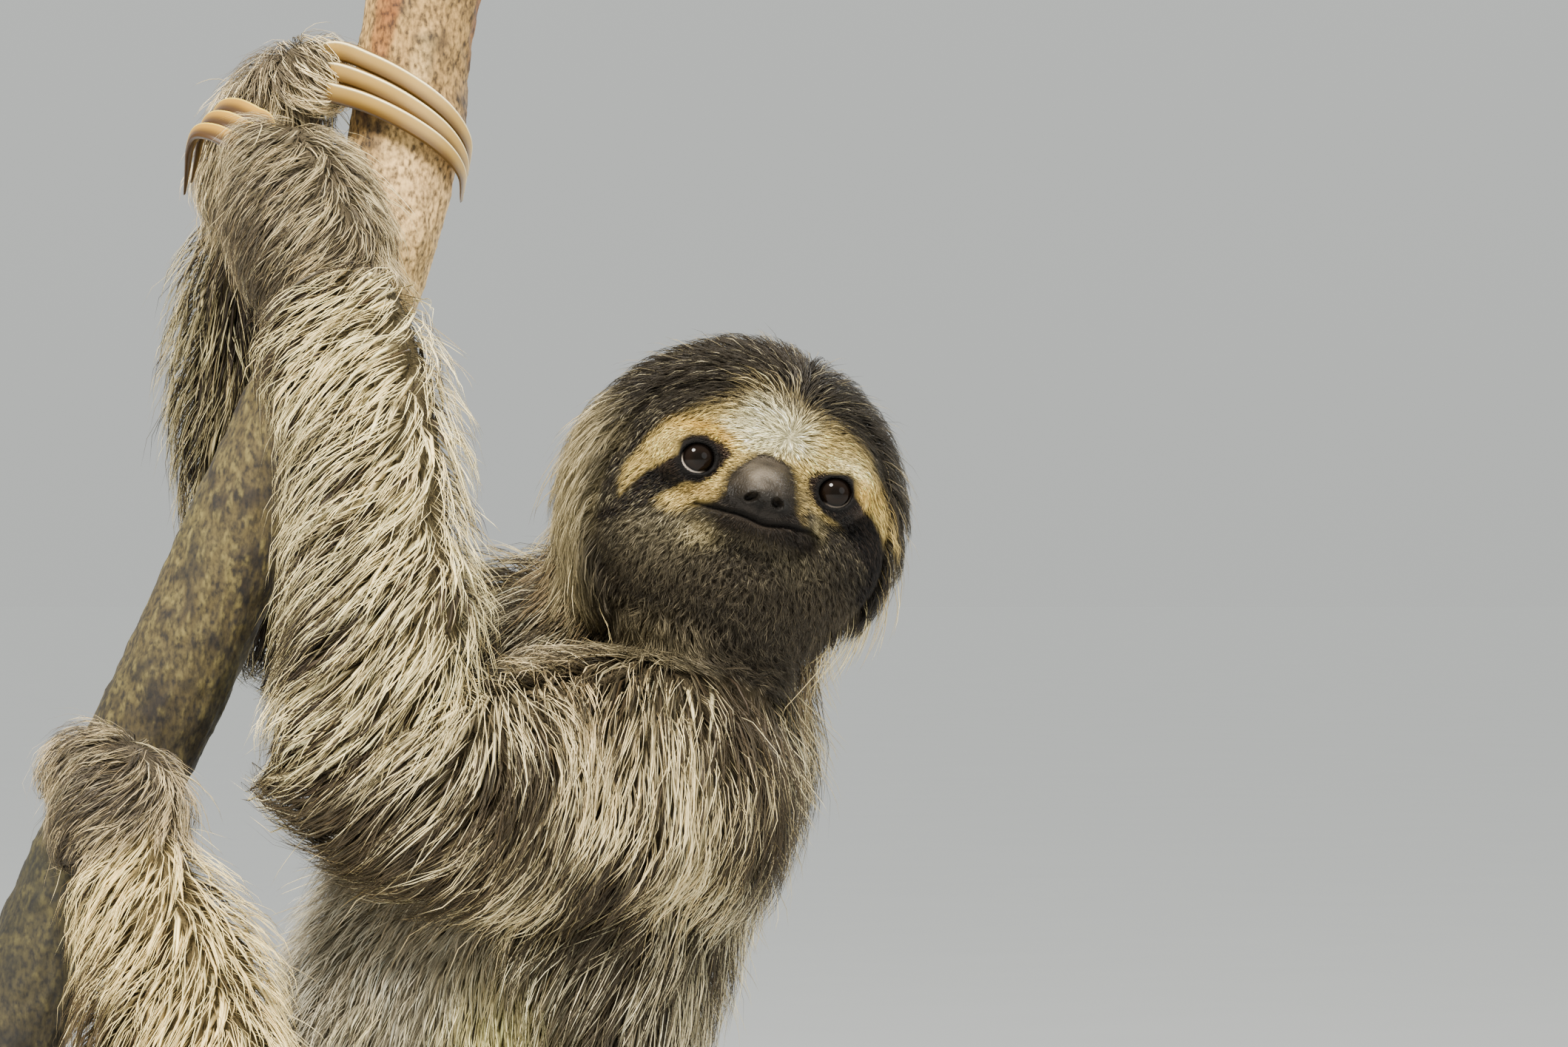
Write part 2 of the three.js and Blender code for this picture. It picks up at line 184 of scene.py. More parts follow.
def tube(centres, lateral, size_a, size_b, sides):
    """A closed tube of elliptical rings round the centres, with pointed ends."""
    along = unit(np.gradient(centres, axis=0))
    b = unit(lateral - along * np.sum(lateral * along, axis=1, keepdims=True))
    a = np.cross(along, b)
    turn = np.arange(sides) * 2 * np.pi / sides
    rings = (centres[:, None] + a[:, None] * (size_a[:, None] * np.cos(turn))[..., None]
             + b[:, None] * (size_b[:, None] * np.sin(turn))[..., None])
    return np.vstack([centres[:1], rings.reshape(-1, 3), centres[-1:]]), ring_faces(len(centres), sides)


def limb_shell(stations, inset, sides=28, rings=26):
    """The domed loft through the stations, less the coat's depth."""
    stations = np.array(stations, float)
    u = np.linspace(0, 1, rings)
    centres, size = loft_line(stations, u)
    size = size - inset
    along = unit(np.gradient(centres, axis=0))
    bulge = np.radians([10, 28, 46, 64, 82])
    dome = [max(0.8 * min(s[3], s[4]) - inset, 2) for s in (stations[0], stations[-1])]
    first = [centres[0] - along[0] * dome[0] * np.cos(a) for a in bulge]
    last = [centres[-1] + along[-1] * dome[1] * np.cos(a) for a in bulge[::-1]]
    rise, fall = np.sin(bulge)[:, None] * size[0], np.sin(bulge[::-1])[:, None] * size[-1]
    sizes = np.vstack([rise, size, fall])
    middle = np.vstack([first, centres, last])
    sideways = np.tile([0.0, 1.0, 0.0], (len(middle), 1))
    verts, faces = tube(middle, sideways, sizes[:, 0], sizes[:, 1], sides)
    verts[0] = centres[0] - along[0] * dome[0]
    verts[-1] = centres[-1] + along[-1] * dome[1]
    return verts, faces


def loft_line(stations, u):
    """The middle line through the stations, and the two half sizes along it."""
    stations = np.array(stations, float)
    return catmull(stations[:, :3], u), catmull(np.c_[stations[:, 3:], np.zeros(len(stations))], u)[:, :2]


def new_object(name, verts, faces, colour=None, smooth_shade=True):
    mesh = bpy.data.meshes.new(name)
    mesh.from_pydata((np.asarray(verts) * MM).tolist(), [], faces)
    mesh.update()
    if colour is not None:
        paint(mesh, colour)
    if smooth_shade:
        mesh.shade_smooth()
    obj = bpy.data.objects.new(name, mesh)
    bpy.context.scene.collection.objects.link(obj)
    return obj


def paint(mesh, colour):
    """Keeps a colour at each vertex, for the materials to read."""
    found = mesh.color_attributes.get("Col") or mesh.color_attributes.new("Col", "FLOAT_COLOR", "POINT")
    found.data.foreach_set("color", np.c_[colour, np.ones(len(colour))].astype(np.float32).ravel())


def read_vectors(items, field):
    """A field of three numbers for each item of a mesh, as an array."""
    values = np.empty(len(items) * 3, np.float32)
    items.foreach_get(field, values)
    return values.reshape(-1, 3).astype(float)


def vertices_of(mesh):
    return read_vectors(mesh.vertices, "co") / MM


def set_vertices(mesh, co):
    mesh.vertices.foreach_set("co", (co * MM).astype(np.float32).ravel())
    mesh.update()


# ------------------------------------------------------------------ the head in its own frame
# r to the right of the picture, u up the face and f out of it; the origin is between the eyes.
YAW, ROLL = math.radians(10), math.radians(14)
HEAD_AT = np.array([97.0, -76.0, 424.0])
_right = np.array([math.cos(YAW), math.sin(YAW), 0])
_up = np.array([0.0, 0.0, 1.0])
HEAD_R = _right * math.cos(ROLL) - _up * math.sin(ROLL)
HEAD_U = _right * math.sin(ROLL) + _up * math.cos(ROLL)
HEAD_F = np.array([math.sin(YAW), -math.cos(YAW), 0])
HEAD_AXES = np.array([HEAD_R, HEAD_U, HEAD_F])
SKULL_CENTRE = np.array([0.0, -10.0, -39.0])
SKIN_LOBES = [
    ((0, -10, -39), (45.5, 45.5, 38)), ((0, 4, -16), (31, 15, 16.5)), ((-0.6, -9.5, -4), (17.5, 12, 15)),
    ((-20, -20, -22), (19, 17, 17)), ((20, -20, -22), (19, 17, 17)), ((0, -24, -16), (17, 12, 15)),
]
EYE_RADIUS = 6.2
EYE_ASIDE = 21.0
EYES = np.array([(-EYE_ASIDE, 0.0, -3.6), (EYE_ASIDE, 0.0, -3.6)])
LID = (4.95, 4.3)  # half width and half height of the opening between the lids
NOSE_MIDDLE = -1.0
NOSTRIL_ASIDE = 3.9


def to_head(p):
    return (np.asarray(p) - HEAD_AT) @ HEAD_AXES.T


def from_head(q):
    return np.asarray(q) @ HEAD_AXES + HEAD_AT


def from_lids(q):
    """How far points of the head are from the nearer eye, where the edge of its lids is 1."""
    return np.hypot((np.abs(q[:, 0]) - EYE_ASIDE) / LID[0], q[:, 1] / LID[1])


def head_reach(direction, lobes=SKIN_LOBES, power=12):
    total = np.zeros(len(direction))
    for centre, radii in lobes:
        radii = np.array(radii, float)
        d = direction / radii
        o = (SKULL_CENTRE - np.array(centre)) / radii
        a = np.sum(d * d, axis=1)
        b = d @ o
        root = b * b - a * (o @ o - 1)
        far = np.where(root > 0, (np.sqrt(np.maximum(root, 0)) - b) / a, 0)
        total += np.maximum(far, 0) ** power
    return total ** (1 / power)


def mouth_line(r):
    r = r - NOSE_MIDDLE
    return -13.2 - 1.2 * peak(r, 2, 5) + 0.5 * smooth(11, 19, np.abs(r))


def face_shape(q):
    """Moves points of the plain head along f, to make the sockets, lids, nose, nostrils and lips."""
    r, u, f = q[:, 0], q[:, 1], q[:, 2].copy()
    nose = r - NOSE_MIDDLE
    f += 3.6 * peak(nose, 0, 7.6, 4) * peak(u, -2.6, 6.4, 4) + blob(nose, u, 0, -1, 5, 4)
    for side in (-1, 1):
        inward = nose - side * NOSTRIL_ASIDE
        hole = (inward / 1.75) ** 2 + ((u + 7.7 + 0.25 * side * inward) / 1.35) ** 2
        f += 0.7 * blob(nose, u, side * 5.6, -7.2, 2.4, 2.6) + 0.35 * peak(hole, 1.6, 0.8)
        f -= 3.2 * np.exp(-hole ** 1.5)
    f += 0.16 * peak(nose, 0, 9, 4) * peak(u, -3, 8.5, 4) * wave(q, 0.9, 4)
    f -= 0.5 * peak(nose, 0, 0.7) * smooth(-13, -11.5, u) * smooth(-8, -9.5, u)
    over_lip = u - mouth_line(r)
    lips = 0.75 * peak(over_lip, 1.7, 1.1) + 0.6 * peak(over_lip, -1.9, 1.3) - 1.9 * peak(over_lip, 0, 0.7)
    f += lips * smooth(20, 16.5, np.abs(nose))
    for eye in EYES:
        e = np.hypot((r - eye[0]) / LID[0], (u - eye[1]) / LID[1])
        above = smooth(-0.4, 0.4, (u - eye[1]) / LID[1])
        near = smooth(2.5, 1.35, e)
        f = f * (1 - near) + (0.7 - 0.5 * np.clip(e - 1.2, 0, 1)) * near
        f += (0.75 + 0.35 * above) * peak(e, 1.15, 0.15)
        f -= (0.45 * above + 0.25) * peak(e, 1.62, 0.14)
        f += 0.35 * peak(e, 1.95, 0.2)
        f -= 6.0 * smooth(1.03, 0.84, e)
    return np.c_[r, u, f]


# ------------------------------------------------------------------ markings, with some painted light and shade
# Outlines on the face, in r and u as the face is seen.
OUTLINES = {
    "mask": [(-38.6, -13.5), (-38.8, -4), (-35, 4.7), (-30.2, 9.9), (-22.4, 14), (-15.9, 17.1), (-9.9, 20.5),
             (-5.5, 23.5), (0.3, 21.4), (8.4, 19.1), (15.5, 17.2), (22.9, 14), (30.4, 7.1), (34.6, 0.4),
             (36.6, -6), (35.6, -10), (30, -8), (20, -8), (13, -6), (12, -9), (14, -12), (0, -9), (-14, -12),
             (-22, -14.5), (-26, -14.5), (-31, -13)],
    "left_patch": [(-26.1, 4.0), (-23.7, 6.2), (-19.5, 7.1), (-17.1, 6.2), (-14.0, 5.9), (-10.1, 3.5),
                   (-12.0, 0.8), (-13.9, -3.3), (-17.5, -6.8), (-21.9, -7.2), (-27.7, -11.8), (-32.0, -15.6),
                   (-36.5, -19), (-42, -22), (-45, -22), (-38.0, -13.7), (-36.0, -9.6), (-32.7, -5.1),
                   (-26.5, -0.5)],
    "right_patch": [(11.2, 2.6), (13.7, 4.3), (18.7, 5.2), (22.8, 6.2), (25.0, 4.9), (26.8, -0.2),
                    (31.8, -3.0), (35.3, -6.6), (37.7, -13.4), (37.7, -20.8), (35.6, -28), (33.0, -27), (34.8, -20.6),
                    (33.6, -17.2), (30.0, -13.6), (26.2, -9.8), (22.8, -7.9), (18.0, -6.4), (14.5, -3.6),
                    (12.4, -0.8)],
    "nose": [(-6.3, 3.1), (-3.9, 5.7), (-0.5, 7.1), (3.3, 6.2), (6.3, 4.4), (8.4, 1.2), (9.8, -3.1),
             (10.6, -7.2), (9.6, -10), (6.5, -12.2), (3, -14), (-4, -13.8), (-7.5, -11.6), (-10.3, -9.4),
             (-10.9, -6.3), (-10.9, -2.6), (-9, 0.1)],
    "lip": [(-9, -6), (0, -6), (9, -6), (12.5, -9), (15.5, -13.4), (4.6, -14.4), (-4, -14), (-15.5, -13.2),
            (-12, -9.5)],
    "chin": [(-15, -13.6), (-8, -13.4), (0, -14.2), (8, -13.8), (18.4, -13.2), (16, -16.8), (11.0, -19.6),
             (4.3, -21), (-2, -19.6), (-7, -18.4), (-11, -15.8)],
    "white": [(-13.2, 12.4), (-8, 17), (-4.8, 20), (-1.8, 20.5), (3.1, 18), (8.5, 15), (9.1, 9.0), (2.0, 6.8),
              (-6.3, 6.4)],
}
SHADES = {name: rgb(code) for name, code in dict(
    cream="d2b66c", white="f8edba", ochre="cda040", brow="f4e2a4", grizzle="a89c7c", patch="0c0806",
    lids="4a3b30", nose="27221b", nose_low="0d0a07", shine="5a5145", lip="231d17", chin="1e1811",
    gape="0d0907", crown="252018", side="8b7e5c", band="1d1811", throat="3b3428", cheek="5a523f",
    lip_pale="a8996f", muzzle="6f6248").items()}
# Soft spots of those shades: strength, place in r and u, and spread in r and u.
SPOTS = {
    "cheek": [(1, -27, -22, 15, 9), (0.55, 15, -23, 8, 4.5)],
    "lip_pale": [(0.95, -14.5, -19.8, 4.6, 3.4), (0.6, 17, -10.5, 2.2, 3.4)],
    "ochre": [(1, -22, 9.6, 9, 2.8), (0.8, -12, 8, 4, 3), (0.35, 20, 9.5, 7, 3.4), (0.9, 29, 3, 3.5, 5),
              (0.5, -16, -8.6, 6, 2.2)],
    "brow": [(0.7, 21, 8.5, 8, 4.5)],
    "muzzle": [(0.85, 12, -5, 3.6, 5.5), (0.4, -17, -9.5, 8, 3)],
}


def outside(points, outline):
    """The distance of 2-D points from an outline, less than zero inside it."""
    poly = np.array(outline, float)
    nearest = np.full(len(points), 1e9)
    inside = np.zeros(len(points), bool)
    for a, b in zip(poly, np.roll(poly, -1, axis=0)):
        edge = b - a
        t = np.clip(((points - a) @ edge) / (edge @ edge), 0, 1)
        nearest = np.minimum(nearest, np.linalg.norm(points - a - t[:, None] * edge, axis=1))
        crosses = (a[1] > points[:, 1]) != (b[1] > points[:, 1])
        at = a[0] + (points[:, 1] - a[1]) * edge[0] / (edge[1] if abs(edge[1]) > 1e-9 else 1e-9)
        inside ^= crosses & (points[:, 0] < at)
    return np.where(inside, -nearest, nearest)


def seen(q):
    """Where a point of the head appears on the face as it is looked at."""
    return np.c_[q[:, 0] * math.cos(YAW) + q[:, 2] * math.sin(YAW), q[:, 1]]


def within(q, name, soft, grow=0.0):
    front = smooth(-34, -26, q[:, 2])
    return smooth(soft, -soft, outside(seen(q), OUTLINES[name]) - grow) * front


def tint(c, name, r, u, share=1.0):
    """Lays the soft spots of one shade over a colour."""
    total = sum(strength * blob(r, u, *place) for strength, *place in SPOTS[name])
    return mix(c, SHADES[name], np.clip(total, 0, 1) * share)


def patches(q, soft, grow=0.0):
    """The dark stripes that run back from the eyes."""
    return np.maximum(within(q, "left_patch", soft, grow), within(q, "right_patch", soft, grow))


def head_colour(q, blur=1.0):
    """The coat's colour on the head, at its own points."""
    u, f = q[:, 1], q[:, 2]
    r = seen(q)[:, 0]
    front = smooth(-34, -26, f)
    c = hood_colour(r, u, f)
    c = tint(c, "cheek", r, u, front)
    c = mix(c, SHADES["cream"], within(q, "mask", blur * (1.2 + 1.6 * smooth(8, 20, u))))
    c = tint(c, "lip_pale", r, u, front)
    mask, soft_mask = within(q, "mask", 2 * blur), within(q, "mask", 3 * blur)
    c = tint(c, "ochre", r, u, 0.8 * mask)
    c = tint(c, "brow", r, u, mask)
    c = tint(c, "muzzle", r, u, soft_mask)
    c = mix(c, SHADES["grizzle"], 0.75 * smooth(13, 19, u) * peak(r, -2, 13) * soft_mask)
    c = mix(c, SHADES["white"], within(q, "white", 3 * blur))
    c = mix(c, SHADES["patch"], patches(q, 0.9 * blur, 0.4))
    lids = 0.6 * peak(from_lids(q), 1.9, 0.45) * smooth(-7, -1, u) * (f > -12)
    c = mix(c, SHADES["lids"], lids * patches(q, 0.8))
    chin = mix(SHADES["chin"], SHADES["cheek"], 0.5 * smooth(-16, -20, u))
    c = mix(c, chin, within(q, "chin", 1.2 * blur))
    c = mix(c, SHADES["lip"], within(q, "lip", 1.8 * blur))
    # Painted shade in the slit between the lips: near-black along the mouth line.
    in_mouth = smooth(20, 17.5, np.abs(q[:, 0] - NOSE_MIDDLE)) * smooth(-18, -12, f)
    c = mix(c, SHADES["gape"], 0.9 * peak(u, mouth_line(q[:, 0]), 0.55) * in_mouth)
    # The nose's leather, darker towards the bottom, with a painted highlight in two lighter spots over its middle.
    leather = mix(SHADES["nose_low"], SHADES["nose"], smooth(-11, 1, u + 1.2 * wave(q, 2.2, 3)))
    for strength, *place in ((0.8, -1.5, -0.9, 4.4, 3), (0.35, 0.5, 5.5, 6, 2.5)):
        leather = mix(leather, SHADES["shine"], strength * blob(r, u, *place))
    leather = leather * (1 + 0.4 * wave(q, 1.2, 6))[:, None]
    return mix(c, leather, within(q, "nose", 0.9 * blur))


def hood_colour(r, u, f):
    """The head's colours round the face: dark crown and band, pale sides and a brown throat."""
    hood = smooth(-38, -45, r + 0.2 * np.clip(u - 5, 0, 30)) * smooth(36, 16, u)
    c = mix(SHADES["crown"], SHADES["side"], np.maximum(hood, smooth(37, 43, r) * smooth(2, -16, u)))
    c = mix(c, SHADES["side"], 0.55 * smooth(-45, -70, f))
    c = mix(c, SHADES["throat"], smooth(-20, -34, u) * smooth(-60, -30, f) * (1 - hood) * smooth(44, 38, r))
    c = mix(c, SHADES["side"], 0.4 * smooth(-40, -52, u) * smooth(0, -25, r))
    band = smooth(7, 2, np.abs(r + 41)) * smooth(12, -6, u) * smooth(-42, -28, u) * smooth(-52, -40, f)
    return mix(c, SHADES["band"], band)


# Places on the near side where the coat is straw-pale or dark brown: x, z, reach, strength. Some of the dark ones are
# painted shade under the chin and down the shin's left edge, and a pale one is painted light where the arm's shadow
# falls on the belly.
PALE = [(-40, 545, 12, .9), (-17, 467, 19, 1.6), (-28, 506, 8, .6), (3, 382, 15, 1.2), (1, 409, 9, .7),
        (12, 354, 13, 1.4), (12, 328, 10, .8), (0, 340, 13, .5), (68, 347, 11, .8), (41, 348, 12, 1.6),
        (34, 353, 9, .8), (41, 326, 11, .8), (52, 338, 12, .5), (71, 317, 14, .8), (35, 306, 14, .6),
        (82, 312, 12, 1.9), (82, 338, 11, 1.4), (50, 289, 10, .6), (40, 300, 8, .6), (-22, 310, 12, .7),
        (72, 278, 16, .5), (-33, 357, 12, .3), (-84, 316, 13, 1.5), (-64, 268, 24, 1.4), (-15, 425, 34, .2),
        (18, 257, 15, 1.9), (32, 262, 10, .5), (-16, 288, 20, 1.3)]
DARK = [(-52, 556, 9, .8), (97, 338, 13, 1.3), (86, 355, 10, 1), (-52, 505, 11, .6), (-108, 312, 10, 1),
        (-104, 264, 20, 3), (25, 340, 11, 1.7), (72, 372, 7, 1), (86, 369, 6, .8), (18, 370, 7, .5),
        (56, 312, 13, 1.8), (11, 298, 15, 1.6), (101, 322, 9, .9), (-13, 325, 17, 1.6), (-30, 322, 10, .3),
        (0, 311, 12, .8), (74, 250, 12, 1), (46, 268, 12, .8), (84, 293, 10, 1), (-46, 490, 14, .4),
        (-47, 465, 12, .9), (-48, 437, 13, 1), (-48, 410, 13, 1.1), (-48, 382, 13, 1.1), (-48, 350, 14, 1.1)]
REGION_SHADE = {  # roots, tips, and the share of pale strands
    "torso": ("3c3426", "e6d8ac", -0.04), "upper_arm": ("3a3122", "ead6a0", 0.16),
    "forearm": ("33291b", "f8e4a6", 0.38), "hand": ("4a4132", "cfba8a", 0.36),
    "thigh": ("3c3426", "dcc688", 0.34), "shin": ("453822", "fce29c", 0.6), "foot": ("484034", "cfb98a", 0.38),
    "neck": ("3e3526", "8e7a56", 0.3), "tail": ("3c3426", "cdb88a", 0.38),
    "head": ("2d2419", "6d5c42", 0.45),
}
FAR_SHADE = {"hand": 1.85, "forearm": 0.52}  # the limbs on the far side are in the body's shade


def by_part(value, names):
    """A value for each point, worked out from the name of the part that it lies on."""
    return np.array([value(n) for n in NAMES], float)[names]


def roots_and_tips(names):
    return (by_part(lambda n: rgb(REGION_SHADE[kind(n)][k]), names) for k in (0, 1))


def belly_share(p, names):
    """One on the short grey coat of the belly, nought on the shaggy back and on the limbs."""
    middle_x = np.interp(p[:, 2], [102, 167, 256, 326, 378], [-44, -18, 9, 44, 70])
    backward = p[:, 0] - middle_x + 0.3 * np.maximum(p[:, 2] - 290, 0)
    return smooth(10, -22, backward) * smooth(345, 305, p[:, 2]) * (names == TORSO)


def pale_share(p, names, normal):
    """How many of the strands are pale, by the part of the body and the places marked on the near side."""
    share = by_part(lambda n: REGION_SHADE[kind(n)][2] - 0.12 * n.startswith("far"), names)
    near = smooth(0.3, -0.2, normal[:, 1])
    for marks, sign in ((PALE, 0.55), (DARK, -0.9)):
        for x, z, reach, strength in marks:
            share = share + near * strength * sign * blob(p[:, 0], p[:, 2], x, z, reach, reach)
    return np.maximum(share, -0.55) + 0.3 * wave(p, 13, 1) + 0.3 * wave(p, 5.5, 2)


# ------------------------------------------------------------------ the lie of the coat
# x, y, z, and the direction in x, y and z that the hair points there.
LIE = {
    "near_upper_arm": [
        (-15, -100, 373, -.85, 0, -.5), (11, -100, 363, -.25, 0, -.95), (35, -90, 351, .35, 0, -.93),
        (53, -80, 357, -.2, 0, -.97), (35, -100, 312, -.6, 0, -.8), (7, -100, 301, -.85, 0, -.5),
        (-9, -105, 330, -.75, 0, -.65), (-30, -100, 329, -.95, 0, -.3), (-46, -90, 334, -1, 0, -.05),
        (48, -90, 335, -.42, 0, -.9), (55, -85, 318, -.65, 0, -.76), (74, -70, 340, -.2, 0, -.98)],
    "torso": [
        (74, -60, 351, -.15, 0, -1), (74, -62, 330, -.42, 0, -.9), (60, -66, 322, -.6, 0, -.8),
        (91, -55, 321, -.42, 0, -.9), (90, -60, 286, -.5, 0, -.87), (67, -62, 304, -.6, 0, -.8),
        (67, -62, 269, -.65, 0, -.75), (56, -66, 298, -.75, 0, -.65), (33, -70, 314, -.75, 0, -.65),
        (-1, -70, 298, -.9, 0, -.45), (57, -65, 283, -.75, 0, -.65), (114, -40, 344, -.35, 0, -.94),
        (-17, -60, 277, 0, 0, -1), (-44, -30, 293, -.7, 0, -.7), (11, -65, 264, .05, 0, -1),
        (-60, -20, 250, .1, 0, -1), (50, -60, 220, -.35, 0, -.93), (10, -60, 130, -.35, 0, -.93),
        (-60, -30, 150, .05, 0, -1), (70, 0, 250, -.35, 0, -.93)],
    "near_forearm": [
        (-19, -105, 412, -.85, 0, -.5), (10, -80, 422, -.5, 0, -.85), (-28, -105, 380, -.9, 0, -.4),
        (-4, -105, 380, -.7, 0, -.7), (-33, -85, 459, -.85, 0, -.5), (-6, -70, 470, -.8, 0, -.6),
        (-48, -70, 400, -.2, .5, -.85), (10, -50, 420, .2, .1, -1)],
    "near_hand": [
        (-34, -65, 487, -.8, 0, -.55), (-15, -50, 510, .55, 0, -.83), (-44, -55, 512, -.75, -.1, -.5),
        (-27, -40, 525, .5, 0, -.3), (-58, -30, 520, -.8, 0, -.4)],
    "near_shin": [
        (-82, -100, 326, -.5, 0, -.87), (-71, -100, 283, -.35, 0, -.93), (-54, -90, 294, .1, 0, -1),
        (-102, -80, 315, -.6, 0, -.8), (-80, -100, 240, -.3, 0, -.95), (-60, -40, 280, .3, .2, -.9)],
    "near_foot": [
        (-95, -60, 347, -.95, 0, -.3), (-110, -40, 337, -.8, 0, -.6), (-81, -50, 344, -.3, 0, -.95)],
    "near_thigh": [(-40, -100, 215, -.1, 0, -1), (-10, -90, 160, .25, 0, -.95), (-60, -60, 190, 0, .2, -1)],
    "far_upper_arm": [(44, 60, 390, -.5, .3, -.8), (-40, 80, 380, -.6, .2, -.7)],
    "far_forearm": [(-60, 70, 400, -.25, .1, -1), (-60, 40, 500, -.25, .1, -1)],
    "far_hand": [
        (-58, 0, 541, -.4, 0, -.9), (-48, 2, 556, -.1, -.2, -.95), (-33, -8, 552, .85, -.2, -.2),
        (-40, -14, 552, .5, -.3, -.7), (-33, -16, 540, .8, -.3, -.3), (-60, 25, 530, -.3, .2, -.9)],
    "far_thigh": [(-40, 90, 160, .2, .1, -1), (0, 70, 140, .3, .1, -1)],
    "far_shin": [(-80, 90, 165, .3, .4, -.85), (-130, 50, 200, .3, .4, -.85)],
    "far_foot": [(-150, 30, 230, -.5, -.3, -.5), (-140, 45, 220, .2, .5, -.8)],
    "neck": [(70, -20, 400, -.3, 0, -1), (100, 10, 390, -.1, 0, -1), (80, -60, 370, -.2, 0, -1)],
    "tail": [(-50, 0, 80, -.5, 0, -.9)],
}


def head_lie(q):
    """The lie of the coat on the head: from a whorl over the nose, round the crown, and down the sides."""
    r, u, f = q.T
    rs = seen(q)[:, 0]
    x, y = rs - 4.2, u - 12.6
    from_nose = unit(np.c_[rs - 0.5, u + 4.0])
    spread = np.hypot(rs - 0.5, u + 4.0)
    low = unit(from_nose + np.c_[np.zeros(len(r)), -1.6 * smooth(13, 42, spread)])
    turn = np.radians(12 + 80 * smooth(8, 44, np.abs(x)))
    sideways = np.c_[np.tanh(x / 5) * np.cos(turn), -np.sin(turn)]
    high = mix(unit(np.c_[x, y]), sideways, smooth(9, 24, np.hypot(x, y)))
    flat = mix(low, high, smooth(-3, 8, u + 0.12 * np.abs(rs)))
    side = smooth(36, 44, np.abs(rs + 1)) * smooth(12, 0, u)
    flat = mix(flat, np.c_[-0.12 * np.sign(rs), -np.ones(len(r))], side)
    sweep = smooth(-44, -54, u) * smooth(-50, -30, f)
    flat = mix(flat, mix(np.array([0.7, -0.7]), np.array([0.95, -0.1]), smooth(-22, 5, rs)), 0.85 * sweep)
    back = -0.25 - 1.0 * smooth(-12, -45, f) * smooth(0, 30, u)
    world = unit(np.c_[flat, back]) @ HEAD_AXES
    fall = 0.5 * smooth(-20, -60, f) + 0.7 * smooth(30, 50, np.abs(r)) * smooth(25, 0, u)
    return world + DOWN * fall[:, None]


def lie_at(p, normal, names):
    """The unit direction along the surface in which the hair points."""
    out = np.empty((len(p), 3))
    for number in np.unique(names):
        here = names == number
        if number == HEAD:
            out[here] = head_lie(to_head(p[here]))
            continue
        at, marks = p[here], np.array(LIE[NAMES[number]], float)
        if NAMES[number] in ("torso", "neck"):
            at[:, 1] = -np.abs(at[:, 1])
        gap = np.sum((at[:, None] - marks[None, :, :3]) ** 2, axis=2)
        weight = 1 / (gap + 60) ** 2
        out[here] = unit((weight[..., None] * marks[None, :, 3:]).sum(1))
    wander = np.where(names == HEAD, 0.7, 1.0)
    angle = np.radians(13) * wave(p, 11, 5) * wander + np.radians(9) * wave(p, 5, 6) * wander
    side = np.cross(normal, out)
    out = out * np.cos(angle)[:, None] + side * np.sin(angle)[:, None] + 0.12 * DOWN
    return unit(out - normal * np.sum(out * normal, axis=1, keepdims=True))


# ------------------------------------------------------------------ the skin

def build_skin():
    """One closed skin over all the lofts, the head and the fillers."""
    shells = [limb_shell(stations, COAT[kind(name)][0]) for name, stations in LIMBS.items()]
    grid = sphere(48)
    round_faces = ring_faces(48, 72)
    shells.append((from_head(SKULL_CENTRE + grid * head_reach(grid)[:, None]), round_faces))
    shells += [(np.array(centre) + grid * radii, round_faces) for centre, radii in FILLERS]
    faces, start = [], 0
    for verts, quads in shells:
        faces += [tuple(i + start for i in q) for q in quads]
        start += len(verts)
    rough = new_object("sloth_skin", np.vstack([verts for verts, _ in shells]), faces)
    remesh = rough.modifiers.new("one_skin", "REMESH")
    remesh.mode = "VOXEL"
    remesh.voxel_size = 2.3 * MM
    fixed = bpy.data.meshes.new_from_object(rough.evaluated_get(bpy.context.evaluated_depsgraph_get()))
    rough.modifiers.clear()
    rough.data = fixed
    relax(fixed, 9)
    shape_head(fixed)
    return rough


def relax(mesh, times):
    """Evens the mesh out, towards the middle of each vertex's neighbours."""
    co = vertices_of(mesh)
    ends = np.empty(len(mesh.edges) * 2, np.int32)
    mesh.edges.foreach_get("vertices", ends)
    a, b = ends.reshape(-1, 2).T
    count = np.bincount(np.r_[a, b], minlength=len(co))[:, None]
    for k in range(times):
        total = np.zeros_like(co)
        np.add.at(total, a, co[b])
        np.add.at(total, b, co[a])
        co += (total / count - co) * (0.6 if k % 2 == 0 else 0.35)
    set_vertices(mesh, co)


def face_weight(q):
    """One where the head's own shape is pressed on the skin, nought at the neck and the back."""
    return smooth(-44, -34, q[:, 2]) * smooth(-46, -36, q[:, 1])


def shape_head(mesh):
    """Gives the face finer mesh in two steps, and presses the head's own shape on it."""
    for level in range(2):
        bm = bmesh.new()
        bm.from_mesh(mesh)
        co = to_head(np.array([v.co for v in bm.verts]) / MM)
        reach = np.linalg.norm((co - SKULL_CENTRE) * (1, 1, 0.9), axis=1)
        front = ((co[:, 2] > (-16 if level else -24)) & (co[:, 1] > -30) & (co[:, 1] < 20)
                 & (np.abs(co[:, 0]) < 34) & (reach < 60))
        chosen = [e for e in bm.edges if front[e.verts[0].index] and front[e.verts[1].index]]
        bmesh.ops.subdivide_edges(bm, edges=chosen, cuts=1, use_grid_fill=True)
        bmesh.ops.triangulate(bm, faces=[f for f in bm.faces if len(f.verts) > 4])
        bm.to_mesh(mesh)
        bm.free()
        press_head(mesh, details=False)
    press_head(mesh, details=True)


def skull_ray(q):
    """The distance and direction of points from the middle of the skull, and the skin's distance that way."""
    ray = q - SKULL_CENTRE
    distance = np.linalg.norm(ray, axis=1)
    direction = ray / np.maximum(distance, 1e-6)[:, None]
    return distance, direction, head_reach(direction)


